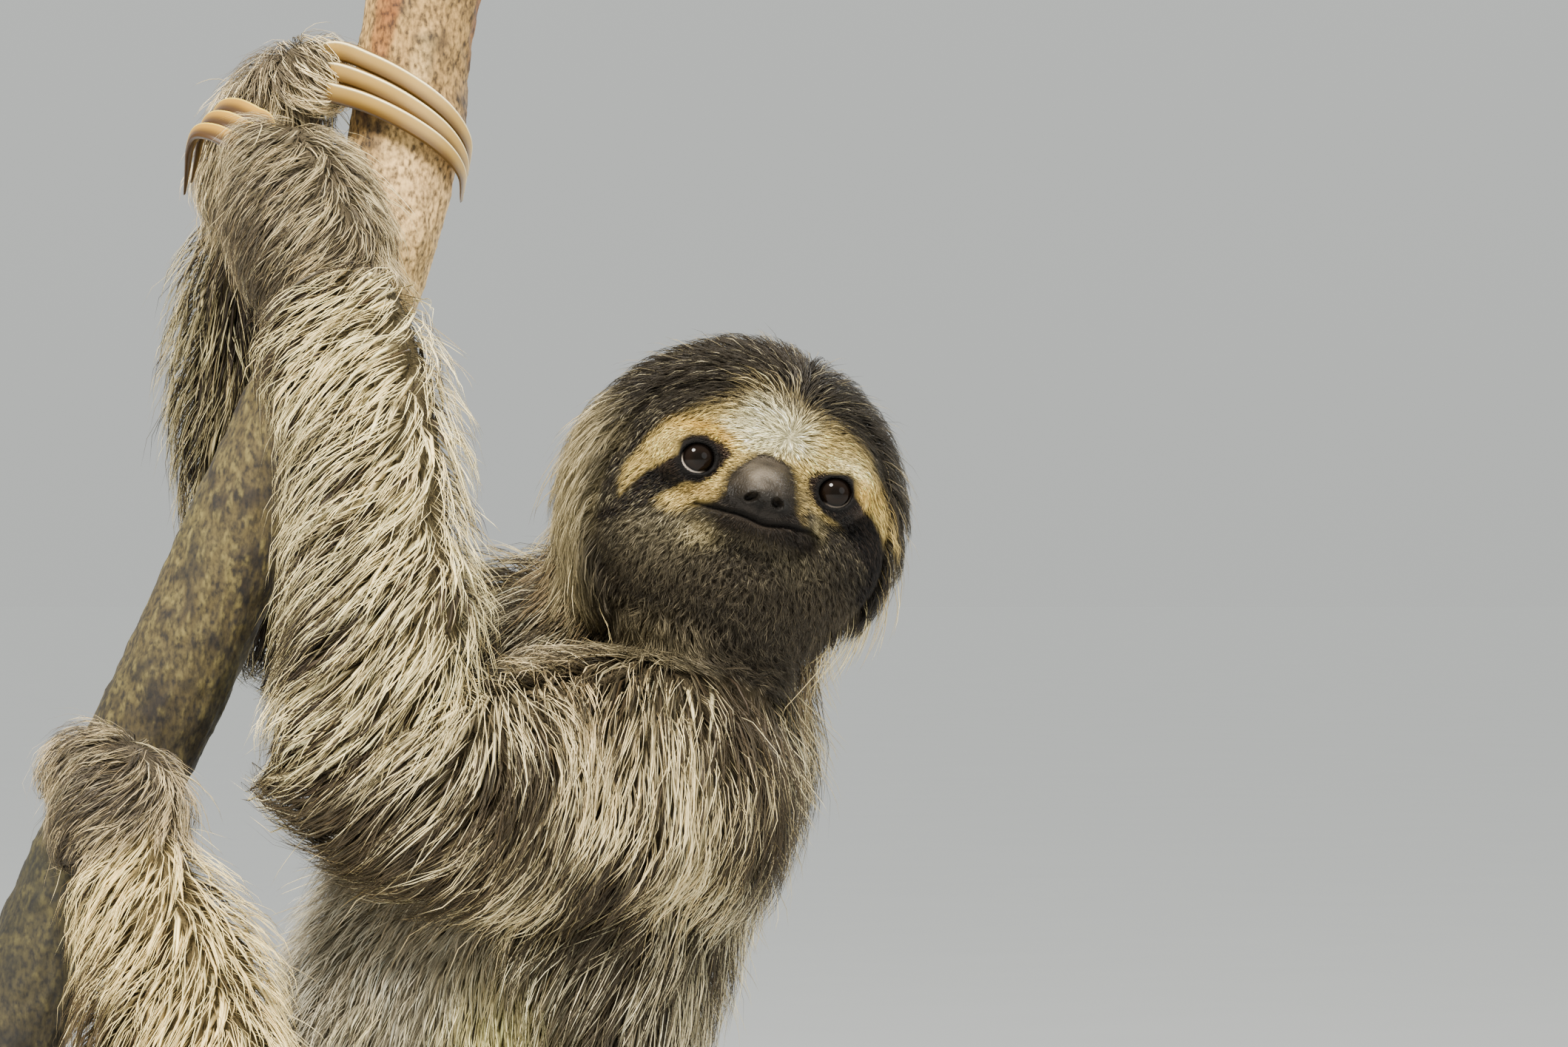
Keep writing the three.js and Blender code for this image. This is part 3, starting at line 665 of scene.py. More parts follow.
def press_head(mesh, details):
    """Moves the skin of the head on to its own shape, with the face's details or without."""
    q = to_head(vertices_of(mesh))
    distance, direction, reach = skull_ray(q)
    weight = face_weight(q) * smooth(9, 4, np.abs(distance - reach))
    plain = mix(q, SKULL_CENTRE + direction * reach[:, None], weight)
    if details:
        plain = mix(plain, face_shape(plain), weight * smooth(-24, -16, plain[:, 2]))
    set_vertices(mesh, from_head(plain))


def region_of(p):
    """The number of the part of the body that each point lies on."""
    distance, _, reach = skull_ray(to_head(p))
    ratios = [distance / reach]
    for name, stations in LIMBS.items():
        centres, size = loft_line(stations, np.linspace(0, 1, 24))
        gap = np.linalg.norm(p[:, None] - centres[None], axis=2)
        ratios.append((gap / (size.min(1) - COAT[kind(name)][0])).min(1))
    return np.argmin(ratios, axis=0)


def body_colour(p, names, normal):
    """The skin's colour under the coat: the roots, a little lightened by what grows there, and darkened as painted
    shade deep in the coat.
    """
    roots, tips = roots_and_tips(names)
    c = 0.7 * mix(roots, tips, 0.02 + 0.08 * np.clip(pale_share(p, names, normal), 0, 1))
    c = mix(c, rgb("7c7460"), 0.8 * belly_share(p, names))
    head = names == HEAD
    q = to_head(p[head])
    bald = np.maximum(within(q, "nose", 1.0), within(q, "chin", 1.0))[:, None]
    # Painted shade: the head's skin under its hair is darkened, and only the bare nose and chin keep their full
    # colour.
    c[head] = head_colour(q) * (0.32 + 0.68 * bald)
    return c


# ------------------------------------------------------------------ the coat

def unwrap(obj):
    bpy.ops.object.select_all(action="DESELECT")
    bpy.context.view_layer.objects.active = obj
    obj.select_set(True)
    obj.data.uv_layers.new(name="OFBake")
    bpy.ops.object.mode_set(mode="EDIT")
    bpy.ops.mesh.select_all(action="SELECT")
    bpy.ops.uv.smart_project(angle_limit=math.radians(66), island_margin=0.003)
    bpy.ops.object.mode_set(mode="OBJECT")


def tree_of(points):
    """A tree that finds the nearest of the points."""
    tree = KDTree(len(points))
    for k, p in enumerate(points):
        tree.insert(p, k)
    tree.balance()
    return tree


class Surface:
    """The skin as arrays, with quick nearest-vertex questions."""

    def __init__(self, mesh):
        self.co = vertices_of(mesh)
        self.normal = read_vectors(mesh.vertex_normals, "vector")
        self.names = region_of(self.co)
        mesh.calc_loop_triangles()
        count = len(mesh.loop_triangles)
        tri, loops = np.empty(count * 3, np.int32), np.empty(count * 3, np.int32)
        mesh.loop_triangles.foreach_get("vertices", tri)
        mesh.loop_triangles.foreach_get("loops", loops)
        self.tri, loops = tri.reshape(-1, 3), loops.reshape(-1, 3)
        uv = np.empty(len(mesh.loops) * 2, np.float32)
        mesh.uv_layers["OFBake"].data.foreach_get("uv", uv)
        self.uv = uv.reshape(-1, 2)[loops]
        a, b, c = (self.co[self.tri[:, k]] for k in range(3))
        self.area = 0.5 * np.linalg.norm(np.cross(b - a, c - a), axis=1)
        self.middle = (a + b + c) / 3
        self.tree = tree_of(self.co)

    def nearest(self, points):
        find = self.tree.find
        return np.array([find(p)[1] for p in points], int)

    def scatter(self, count, density):
        """Roots spread over the skin: where, which way is out, which part, and where on the unwrap."""
        weight = self.area * density
        steps = np.cumsum(weight) / weight.sum()
        chosen = np.searchsorted(steps, (np.arange(count) + rng.random(count)) / count)
        chosen = np.minimum(chosen, len(steps) - 1)
        s, t = rng.random(count), rng.random(count)
        flip = s + t > 1
        s, t = np.where(flip, 1 - s, s), np.where(flip, 1 - t, t)
        bary = np.c_[1 - s - t, s, t]
        corners = self.tri[chosen]
        place = np.einsum("nk,nkj->nj", bary, self.co[corners])
        out = unit(np.einsum("nk,nkj->nj", bary, self.normal[corners]))
        uv = np.einsum("nk,nkj->nj", bary, self.uv[chosen])
        return place, out, self.names[corners[np.arange(count), bary.argmax(1)]], uv


def march(surface, place, out, names, length, depth, free, twist, steps=7):
    """Leads guide hairs from their roots over the skin. Returns their points and the way out at each."""
    points, ways = [place], [out]
    before = None
    fall = DOWN * 0.35
    turned, straight = np.sin(twist)[:, None], np.cos(twist)[:, None]
    for k in range(1, steps + 1):
        s = k / steps
        here = surface.nearest(points[-1])
        normal = unit(surface.normal[here] * 0.7 + ways[-1] * 0.3)
        height = np.sum((points[-1] - surface.co[here]) * normal, axis=1)
        lie = lie_at(surface.co[here], normal, np.where(names == HEAD, HEAD, surface.names[here]))
        lie = lie * straight + np.cross(normal, lie) * turned
        step = length / steps
        wanted = depth * (0.4 + 0.6 * min(1.0, 1.5 * s) ** 0.8)
        climb = np.clip(wanted - height, -0.75 * step, (1.3 if k < 3 else 0.7) * step)
        go = unit(lie * step[:, None] + normal * climb[:, None])
        if before is not None:
            loose = (free * s)[:, None]
            go = unit(go * (1 - loose) + unit(before + fall * s) * loose)
        point = points[-1] + go * step[:, None]
        points.append(point)
        ways.append(normal)
        before = go
    return np.array(points).transpose(1, 0, 2), np.array(ways).transpose(1, 0, 2)


FAR_SIDE_WIDER = 0.7  # how much wider locks are on the side away from the picture


def along(paths, s):
    """Points at a share s of each path, of shape (paths, shares)."""
    steps = paths.shape[1] - 1
    x = np.clip(s * steps, 0, steps - 1e-6)
    i = x.astype(int)
    t = (x - i)[..., None]
    rows = np.arange(len(paths))[:, None]
    return paths[rows, i] * (1 - t) + paths[rows, i + 1] * t


def grow_guides(surface, guides, density, size, cross):
    """Guide hairs: their roots, their points, the way out at each, and how fine their locks are."""
    place, out, names, _ = surface.scatter(guides, density)
    sizes = (by_part(lambda n: COAT[kind(n)][k], names) for k in range(3))
    depth, length, free, unruly, fine = size(place, names, *sizes)
    length = length * rng.uniform(0.8, 1.15, guides)
    depth = depth * rng.uniform(0.7, 1.12, guides)
    twist = rng.normal(0, cross, guides) * unruly
    return (place, *march(surface, place, out, names, length, depth, free, twist), fine)


def choose_guides(guide_place, place):
    """For each lock the nearest guide, or now and then the next."""
    tree = tree_of(guide_place)
    owner = np.empty(len(place), int)
    for k, p in enumerate(place):
        found = tree.find_n(p, 2)
        pick = 0 if len(found) < 2 or rng.random() < 0.75 else 1
        owner[k] = found[pick][1]
    return owner


def lock_faces(rings):
    """The triangles of one lock: rings of three vertices, closed at the root and pointed at the tip."""
    faces = [(0, 2, 1)]
    for a in range(0, rings * 3 - 3, 3):
        for m in range(3):
            n = (m + 1) % 3
            faces += [(a + m, a + n, a + 3 + n), (a + m, a + 3 + n, a + 3 + m)]
    a = (rings - 1) * 3
    return np.array(faces + [(a + m, a + (m + 1) % 3, a + 3) for m in range(3)])


def locks(name, surface, count, guides, density, rings, size, clump, width, shade, stray=0.02, jitter=1.0,
          pieces=1, cross=0.1, clear=None):
    """Grows count locks round marched guides, and makes them into closed, tapered, three-sided solids."""
    guide_place, paths, ways, fine = grow_guides(surface, guides, density, size, cross)
    place, out, names, uv = surface.scatter(count, density)
    owner = choose_guides(guide_place, place)
    share = np.linspace(0, 1, rings + 1)[None] ** 0.9
    s = share * rng.uniform(0.62, 1.0, count)[:, None]
    wild = rng.random(count) < stray * (1 + 2.5 * smooth(0.5, 0.1, np.abs(out[:, 1])))
    centre = along(paths[owner], s)
    way = unit(along(ways[owner], s))
    offset = place - guide_place[owner]
    hold = (clump * rng.uniform(0.5, 1.2, count))[:, None] * np.where(wild, -0.4, 1.0)[:, None]
    centre = centre + offset[:, None] * (1 - np.clip(hold * s ** 1.2, -0.6, 0.92))[..., None]
    side = unit(np.cross(unit(np.gradient(centre, axis=1)), way))
    bend = rng.normal(0, 1, (count, 2)) * jitter
    centre += side * (bend[:, :1] * 0.9 * s ** 1.5)[..., None]
    centre += way * (np.abs(bend[:, 1:]) * 0.5 * s ** 1.5)[..., None]
    phase = rng.uniform(0, 6.28, count)[:, None]
    centre += side * (0.5 * jitter * np.sin(phase + rng.uniform(3, 7, count)[:, None] * s) * s)[..., None]
    lift = np.where(wild, rng.uniform(2, 6, count), 0)[:, None]
    centre += way * (lift * s ** 1.6)[..., None]
    if clear is not None:
        fits = clear(centre)
        centre, way, s, place, out, names, uv, owner, wild = (
            v[fits] for v in (centre, way, s, place, out, names, uv, owner, wild))
        count = len(place)
    forward = unit(np.gradient(centre, axis=1))
    side = unit(np.cross(forward, way))
    above = np.cross(side, forward)
    half, thick = width
    half = half * (fine[owner] * rng.uniform(0.65, 1.3, count) * np.where(wild, 0.7, 1.0))[:, None]
    half = half * (1 + FAR_SIDE_WIDER * smooth(-0.1, 0.6, out[:, 1]))[:, None]
    taper = np.interp(share, [0, 0.2, 0.55, 0.85, 1], [0.55, 1, 0.9, 0.5, 0.12])
    w, t = ((half * k * taper)[:, :rings, None] for k in (1, thick))
    c, sd, ab = centre[:, :rings], side[:, :rings], above[:, :rings]
    body = np.stack([c - sd * w, c + sd * w, c + ab * t * 1.6], axis=2).reshape(count, rings * 3, 3)
    verts = np.concatenate([body, centre[:, rings:]], axis=1)
    colour = shade(place, names, out, s, owner, wild)
    colour = np.concatenate([np.repeat(colour[:, :rings], 3, axis=1), colour[:, rings:]], axis=1)
    faces = lock_faces(rings)
    patch = np.array([(x, j / rings) for j in range(rings) for x in (0, 1, 0.5)] + [(0.5, 1)]) * 0.003
    order = np.argsort(place[:, 2] + 0.001 * np.arange(count))
    made = []
    for number, part in enumerate(np.array_split(order, pieces)):
        tag = name if pieces == 1 else f"{name}_{number + 1}"
        made.append(fibre_object(tag, verts[part], faces, colour[part], uv[part][:, None] + patch[None]))
    return made


def fibre_object(name, verts, faces, shade, uv):
    """One mesh of many locks that all have the same triangles."""
    count, each = verts.shape[:2]
    index = (faces[None] + (np.arange(count) * each)[:, None, None]).reshape(-1, 3).astype(np.int32)
    mesh = bpy.data.meshes.new(name)
    mesh.vertices.add(count * each)
    mesh.vertices.foreach_set("co", (verts.reshape(-1, 3) * MM).astype(np.float32).ravel())
    mesh.loops.add(index.size)
    mesh.loops.foreach_set("vertex_index", index.ravel())
    mesh.polygons.add(len(index))
    mesh.polygons.foreach_set("loop_start", np.arange(0, index.size, 3, dtype=np.int32))
    mesh.polygons.foreach_set("loop_total", np.full(len(index), 3, np.int32))
    mesh.update(calc_edges=True)
    layer = mesh.uv_layers.new(name="OFBake")
    flat = np.clip(uv.reshape(-1, 2), 0, 1)[index.ravel()]
    layer.data.foreach_set("uv", flat.astype(np.float32).ravel())
    paint(mesh, shade.reshape(-1, 3))
    mesh.shade_smooth()
    obj = bpy.data.objects.new(name, mesh)
    bpy.context.scene.collection.objects.link(obj)
    return obj


def body_shade(place, names, out, s, owner, wild, lift=0.0):
    """Dark roots to pale tips, in strands and clumps, by part of the body; the roots are darkened by half again as
    painted shade deep in the coat.
    """
    count = len(place)
    roots, tips = roots_and_tips(names)
    group = np.random.default_rng(3).normal(0, 0.24, owner.max() + 1)[owner]
    pale = pale_share(place, names, out) + group + rng.normal(0, 0.44, count) + lift
    pale = np.clip(np.where(wild, pale + 0.4, pale), 0.02, 1.0)
    x, z, near = place[:, 0], place[:, 2], out[:, 1] < 0
    belly = belly_share(place, names)
    tips = mix(tips, mix(rgb("d6cdb2"), rgb("f2e29a"), 0.6 * smooth(0, 0.7, wave(place, 22, 9))), belly)
    roots = mix(roots, rgb("857c67"), belly)
    golden = blob(x, z, 18, 256, 14, 22) * near
    tips, roots = mix(tips, rgb("fdf0a6"), golden), mix(roots, rgb("bfb470"), 0.9 * golden)
    tips = mix(tips, rgb("a87e50"), 0.35 * blob(x, z, 46, 364, 17, 17) * near)
    full = mix(roots, tips, smooth(0.1, 0.8, pale))
    hue = rng.normal(0, 0.05, (count, 1)) * np.array([1.0, 0.2, -0.8])
    full = full * (1 + hue) * rng.uniform(0.8, 1.2, (count, 1))
    far = by_part(lambda n: FAR_SHADE.get(kind(n), 0.62) if n.startswith("far") else 1.0, names)[:, None]
    # Painted shade: each lock starts at half its root colour.
    return root_to_tip(roots * far * 0.5, full * far, smooth(0.0, 0.55, s))


def root_to_tip(start, end, blend):
    """The colour at each ring of each lock, between the colours of its root and its tip."""
    return start[:, None] * (1 - blend[..., None]) + end[:, None] * blend[..., None]


def under_shade(place, names, out, s, owner, wild):
    # The under layer is kept darker: partly the darker underfur, partly painted shade in the gaps between the locks.
    return body_shade(place, names, out, s, owner, wild, -0.28)


def head_shade(place, names, out, s, owner, wild):
    """The head's own colours, with dark and light strands and pale glints in the dark parts."""
    count = len(place)
    q = to_head(place)
    c = head_colour(q, 1.3)
    level = c.mean(1, keepdims=True)
    light = rng.normal(0, 1, (count, 1))
    dark_part = smooth(0.20, 0.05, level[:, 0]) * (1 - within(q, "lip", 1.5) - within(q, "chin", 1.5))
    dark_part = np.clip(dark_part - within(q, "left_patch", 1) - within(q, "right_patch", 1), 0, 1)
    group = np.random.default_rng(4).normal(0, 0.25, (owner.max() + 1, 1))[owner]
    tip = c * np.exp(0.4 * light + group)
    low = smooth(-16, -26, q[:, 1])
    cheek = blob(q[:, 0], q[:, 1], -27, -16, 11, 6) * (q[:, 2] > -34)
    glint = dark_part * smooth(0.8, 1.8, light[:, 0]) * (1 - 0.75 * low) * (1 - 0.7 * smooth(10, 26, q[:, 0]))
    glint = (glint + cheek * smooth(0.3, 1.5, light[:, 0]))[:, None]
    tip = tip * (1 - 0.6 * glint) + rgb("b5a985") * 0.62 * glint
    tip = mix(tip, rgb("d8c594"), wild * 0.35 * (1 - low))
    parted = smooth(7, 20, q[:, 1]) * (rng.random(count) < 0.58) * (q[:, 2] > -34)
    tip = mix(tip, SHADES["crown"] * 1.3, parted)
    tip = mix(tip, rgb("4a3d30"), 0.5 * patches(q, 1.5) * (rng.random(count) < 0.22))
    # Painted shade: the locks start darker at their roots, most of all on the pale parts.
    return np.clip(root_to_tip(c * np.where(level > 0.2, 0.28, 0.6), tip, smooth(0.0, 0.6, s)), 0, 1)


# ------------------------------------------------------------------ materials

SOCKETS = dict(rough="Roughness", gloss="Specular IOR Level", metal="Metallic")


def material(name, build):
    m = bpy.data.materials.new(name)
    m.use_nodes = True
    nodes, links = m.node_tree.nodes, m.node_tree.links
    build(nodes, links, nodes["Principled BSDF"])
    return m


def dress(nodes, links, shader, colour, grain, strength, distance, **values):
    """Gives a shader its colour, a relief from a noise node, and plain values by the name of the socket."""
    bump = nodes.new("ShaderNodeBump")
    bump.inputs["Strength"].default_value = strength
    bump.inputs["Distance"].default_value = distance
    links.new(grain.outputs["Fac"], bump.inputs["Height"])
    links.new(bump.outputs["Normal"], shader.inputs["Normal"])
    links.new(colour or attribute(nodes, "Col")["Color"], shader.inputs["Base Color"])
    for socket, value in values.items():
        shader.inputs[SOCKETS[socket]].default_value = value


def noise_node(nodes, links, scale, detail=4, stretch=(1, 1, 1)):
    place = nodes.new("ShaderNodeTexCoord")
    mapping = nodes.new("ShaderNodeMapping")
    mapping.inputs["Scale"].default_value = stretch
    links.new(place.outputs["Object"], mapping.inputs["Vector"])
    n = nodes.new("ShaderNodeTexNoise")
    n.inputs["Scale"].default_value = scale
    n.inputs["Detail"].default_value = detail
    links.new(mapping.outputs["Vector"], n.inputs["Vector"])
    return n


def attribute(nodes, name):
    a = nodes.new("ShaderNodeAttribute")
    a.attribute_name = name
    return a.outputs


def ramp(nodes, links, value, stops):
    r = nodes.new("ShaderNodeValToRGB")
    for n, (position, colour) in enumerate(stops):
        e = r.color_ramp.elements[n] if n < 2 else r.color_ramp.elements.new(position)
        e.position = position
        e.color = (*colour, 1)
    links.new(value, r.inputs["Fac"])
    return r.outputs["Color"]


def hair_look(nodes, links, shader):
    dress(nodes, links, shader, None, noise_node(nodes, links, 900, 2), 0.15, 0.0003, rough=0.5, gloss=0.2)


def skin_look(nodes, links, shader):
    dress(nodes, links, shader, None, noise_node(nodes, links, 1400, 3), 0.9, 0.0006, gloss=0.15)
    links.new(attribute(nodes, "Dull")["Fac"], shader.inputs["Roughness"])


def bark_look(nodes, links, shader):
    speck = noise_node(nodes, links, 760, 6, (1, 1, 0.6))
    spots = ramp(nodes, links, speck.outputs["Fac"], [(0.34, (0.17, 0.15, 0.12)), (0.62, (1.15, 1.1, 1.0))])
    shade = nodes.new("ShaderNodeMix")
    shade.data_type = "RGBA"
    shade.blend_type = "MULTIPLY"
    shade.inputs["Factor"].default_value = 1.0
    links.new(attribute(nodes, "Col")["Color"], shade.inputs["A"])
    links.new(spots, shade.inputs["B"])
    grain = noise_node(nodes, links, 260, 8, (1, 1, 0.5))
    dress(nodes, links, shader, shade.outputs["Result"], grain, 0.55, 0.0012, rough=0.88)


def claw_look(nodes, links, shader):
    dress(nodes, links, shader, None, noise_node(nodes, links, 500, 3), 0.12, 0.0003, rough=0.38)


def eye_look(nodes, links, shader):
    dress(nodes, links, shader, None, noise_node(nodes, links, 300, 2), 0.01, 0.0001, rough=0.05, gloss=0.09)


def board_look(nodes, links, shader):
    grain = noise_node(nodes, links, 18, 6, (0.25, 3, 3))
    shade = ramp(nodes, links, grain.outputs["Fac"], [(0.35, rgb("2b1c12")), (0.7, rgb("4a3120"))])
    dress(nodes, links, shader, shade, grain, 0.08, 0.0005, rough=0.42)


def steel_look(nodes, links, shader):
    grain = noise_node(nodes, links, 400, 3)
    shade = ramp(nodes, links, grain.outputs["Fac"], [(0.3, rgb("26282a")), (0.7, rgb("303234"))])
    dress(nodes, links, shader, shade, grain, 0.05, 0.0003, rough=0.4, metal=0.7)


def floor_look(nodes, links, shader):
    grain = noise_node(nodes, links, 6, 3)
    shade = ramp(nodes, links, grain.outputs["Fac"], [(0.2, (0.70, 0.71, 0.70)), (0.8, (0.72, 0.73, 0.72))])
    dress(nodes, links, shader, shade, grain, 0.02, 0.001, rough=0.9)


LOOKS = {name: material(name, look) for name, look in dict(
    hair=hair_look, skin=skin_look, bark=bark_look, claw=claw_look, eye=eye_look, board=board_look,
    steel=steel_look, floor=floor_look).items()}


def finish_piece(obj, look, nodes=()):
    obj.data.materials.append(LOOKS[look])
    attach(obj, "root")
    if nodes:
        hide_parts(*nodes)


# ------------------------------------------------------------------ skin and coat in place

skin = build_skin()
unwrap(skin)
surface = Surface(skin.data)
paint(skin.data, body_colour(surface.co, surface.names, surface.normal))


def wetness(q):
    """How wet points of the head are: the low part of the nose, and the rims of the lids."""
    nose = within(q, "nose", 1.5) * smooth(-11, -7.5, q[:, 1])
    return np.maximum(nose, 0.6 * smooth(1.12, 1.02, from_lids(q)) * (q[:, 2] > -12))


dull = skin.data.attributes.new("Dull", "FLOAT", "POINT")
wet = np.where(surface.names == HEAD, wetness(to_head(surface.co)), 0)
dull.data.foreach_set("value", (0.88 - 0.46 * wet).astype(np.float32))
flesh = [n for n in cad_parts
         if not n.startswith(("stand_", "perch_")) and "claw" not in n and "eye" not in n]
finish_piece(skin, "skin", flesh)


class Density:
    """How thickly each kind of hair grows on each triangle of the skin."""

    def __init__(self):
        middle, names = surface.middle, surface.names[surface.tri[:, 0]]
        out_x, out_y, _ = unit(surface.normal[surface.tri].sum(1)).T
        on_head, q = names == HEAD, to_head(middle)
        toward = smooth(0.35, -0.25, out_y)
        face = on_head * smooth(-27, -20, q[:, 2]) * smooth(-40, -34, q[:, 1]) * smooth(26, 20, q[:, 1])
        bare = np.maximum(within(q, "nose", 0.8, -1.2), smooth(1.4, 1.25, from_lids(q)) * (q[:, 2] > -12))
        body = np.where(on_head, 0, 0.5 + 0.8 * toward) * (0.75 + 0.45 * smooth(215, 260, middle[:, 2]))
        paws = np.isin(names, PAWS)
        self.under = body * np.where(paws, 2.2, 1)
        self.body = body * np.where(paws, 2.7, 1)
        self.head = on_head * (1 - face) * (0.6 + 0.6 * toward)
        self.face = on_head * face * (1 - on_head * bare)
        edge = smooth(0.45, 0.1, np.abs(out_y))
        wisps = edge * smooth(0.2, 0.8, out_x) * (middle[:, 2] > 250) + 0.25 * edge
        low_right = np.where(q[:, 0] > 0, smooth(-6, -20, q[:, 1]), 1)
        beside = 2.2 * smooth(30, 42, np.abs(q[:, 0])) * low_right + 0.1
        self.wisps = wisps * np.where(on_head, beside, 1) * (1 - face)


def body_size(p, names, depth, length, free):
    """The guides' depth, length and freedom, how unruly they are, and how wide their locks are."""
    belly = belly_share(p, names)
    depth, length, free = depth * (1 - 0.3 * belly), length * (1 - 0.45 * belly), free * (1 - 0.6 * belly)
    return depth, length, free, 1 - 0.4 * belly, 1 - 0.22 * belly - 0.34 * np.isin(names, PAWS)


def under_size(p, names, depth, length, free):
    depth, length, free, unruly, fine = body_size(p, names, depth, length, free)
    return depth * 0.62, length * 0.85, free * 0.5, unruly, fine


def head_size(p, names, depth, length, free):
    q = to_head(p)
    r = seen(q)[:, 0]
    back = smooth(-20, -50, q[:, 2])
    below = smooth(-42, -50, q[:, 1]) * smooth(5, -12, r)
    fuzz = smooth(-18, -34, q[:, 1]) * smooth(40, 34, np.abs(r + 1)) * (1 - below)
    hood = smooth(37, 44, np.abs(r + 1)) * smooth(30, 5, q[:, 1])
    fringe = smooth(34, 41, r) * smooth(-5, -20, q[:, 1])
    length = length * (0.85 + 0.4 * back - 0.62 * fuzz + 0.5 * hood + 0.7 * fringe)
    depth, free = depth * (0.8 + 0.3 * back + 0.35 * hood), free + 0.2 * hood + 0.35 * fringe
    return depth, length, free, 1 + 6 * fuzz, 1 - 0.25 * fuzz


def face_size(p, names, depth, length, free):
    q = to_head(p)
    far = np.hypot(q[:, 0] + 1, q[:, 1] + 5)
    grown = np.minimum(smooth(7, 26, far), smooth(1.5, 4.2, from_lids(q)))
    grown = grown * (1 - 0.45 * patches(q, 2, 2.5))
    fuzz = smooth(-15, -24, q[:, 1])
    cheek = fuzz * smooth(4, 12, np.abs(q[:, 0]))
    depth, length = 0.6 + 2.0 * grown + fuzz, 2.2 + 5.2 * grown * (1 - 0.5 * fuzz)
    return depth, length, free * 0, 1 + 6 * fuzz - 3 * cheek, 1 - 0.1 * fuzz


def wisp_size(p, names, depth, length, free):
    head = names == HEAD
    return depth + 2, np.where(head, 32, 24), np.where(head, 0.8, 0.6), free * 0 + 1, np.where(head, 1.2, 1)


def wisp_shade(place, names, out, s, owner, wild):
    tone = mix(rgb("e3d3a0"), rgb("8f7a4e"), rng.random(len(place)))
    return tone[:, None] * (0.6 + 0.4 * smooth(0, 0.5, s))[..., None]


def off_the_eyes(centre):
    """Strands that keep clear of the eyes, the nose's bare leather and the lips."""
    q = to_head(centre.reshape(-1, 3))
    pad = np.full(len(q), 9.0)
    close = (np.abs(q[:, 0]) < 16) & (q[:, 2] > -10)
    pad[close] = outside(seen(q[close]), OUTLINES["nose"])
    bad = ((from_lids(q) < 1.18) & (q[:, 2] > -10)) | (pad < -2.6)
    in_mouth = (np.abs(q[:, 0] - NOSE_MIDDLE) < 18.5) & (q[:, 2] > -16)
    on_lips = (np.abs(q[:, 1] - mouth_line(q[:, 0])) < 0.7) & in_mouth
    return ~(bad | on_lips).reshape(centre.shape[:2]).any(1)


def grow_coat():
    """All the hair, with finer and shorter locks on the face."""
    grows = Density()
    coat = locks("coat_under", surface, 8000, 4000, grows.under, 3, under_size, 0.2, (0.7, 0.35), under_shade,
                 stray=0.0, jitter=0.8, cross=0.12)
    coat += locks("coat_body", surface, 46000, 13000, grows.body, 3, body_size, 0.42, (0.168, 0.5), body_shade,
                  stray=0.035, jitter=1.5, pieces=4, cross=0.17)
    coat += locks("coat_head", surface, 17500, 3600, grows.head, 3, head_size, 0.3, (0.14, 0.5), head_shade,
                  stray=0.02, jitter=0.8, pieces=2, cross=0.1, clear=off_the_eyes)
    coat += locks("coat_face", surface, 30000, 9000, grows.face, 2, face_size, 0.1, (0.09, 0.5), head_shade,
                  stray=0.0, jitter=0.2, pieces=2, cross=0.12, clear=off_the_eyes)
    coat += locks("coat_wisps", surface, 900, 320, grows.wisps, 5, wisp_size, 0.45, (0.22, 0.6), wisp_shade,
                  stray=0.3, jitter=2.0, cross=0.3)
    return coat


for piece in grow_coat():
    finish_piece(piece, "hair")

# ------------------------------------------------------------------ eyes

def build_eye(centre, name, node, lit, wet):
    """A dark globe with a wet gleam along its edge, in the direction lit, in degrees."""
    grid = sphere(64)
    e = np.hypot(grid[:, 0] * EYE_RADIUS / LID[0], grid[:, 1] * EYE_RADIUS / LID[1])
    swing = np.abs((np.degrees(np.arctan2(grid[:, 1], grid[:, 0])) - lit + 180) % 360 - 180)
    c = mix(rgb("0a0705"), rgb("110b07"), smooth(0.25, 0.6, e))
    c = mix(c, rgb("050302"), smooth(0.70, 0.88, e))
    c = mix(c, rgb("b9ab9d"), wet * smooth(0.90, 0.96, e) * smooth(75, 30, swing) * (grid[:, 2] > 0))
    obj = new_object(name, from_head(np.array(centre) + grid * EYE_RADIUS), ring_faces(64, 72), c)
    finish_piece(obj, "eye", [node])


build_eye(EYES[0], "eye_right_globe", "right_eye", -118, 0.85)
build_eye(EYES[1], "eye_left_globe", "left_eye", -60, 0.25)

# ------------------------------------------------------------------ claws

def bough_at(z):
    """The bough's middle at a height, and the way up along it."""
    u = np.linspace(0, 1, 400)
    line = catmull(BOUGH, u)
    k = np.interp(z, line[::-1, 2], u[::-1])
    ends = catmull(BOUGH, np.array([k, min(k + 1e-3, 1), max(k - 1e-3, 0)]))
    return ends[0], unit(ends[2] - ends[1])


CLAW_EDGE = [(1.0, 0.80), (0.92, 0.70), (0.66, 0.2), (0.42, -0.35), (0.22, -0.8), (-0.05, -1.0), (-0.35, -0.8),
             (-0.6, -0.25), (-0.6, 0.4), (-0.3, 0.85), (0.3, 1.0), (0.85, 0.93)]


def claw_section(sides):
    """A claw's section, outward and sideways: a flat flank that slopes away from a sharp ridge."""
    loop = np.array(CLAW_EDGE + CLAW_EDGE[:1])
    walk = np.r_[0, np.cumsum(np.linalg.norm(np.diff(loop, axis=0), axis=1))]
    at = np.arange(sides) * walk[-1] / sides
    return np.interp(at, walk, loop[:, 0]), np.interp(at, walk, loop[:, 1])


def claw_colour(verts, t, flank, outside_edge):
    """Horn: a pale ridge with a painted highlight on it, a dark edge painted as shade, amber flanks painted darker
    towards their lower edge as shade, and a browner tip.
    """
    c = mix(rgb("b08c44"), rgb("533a12"), smooth(0.6, -0.75, flank))
    c = mix(c, rgb("553c18"), smooth(0.84, 0.95, flank))
    c = mix(c, rgb("ffefb8"), 0.95 * peak(flank, 0.80, 0.095) * (outside_edge > 0.55))
    return mix(c, rgb("6a5230"), smooth(0.85, 1, t) * 0.5)


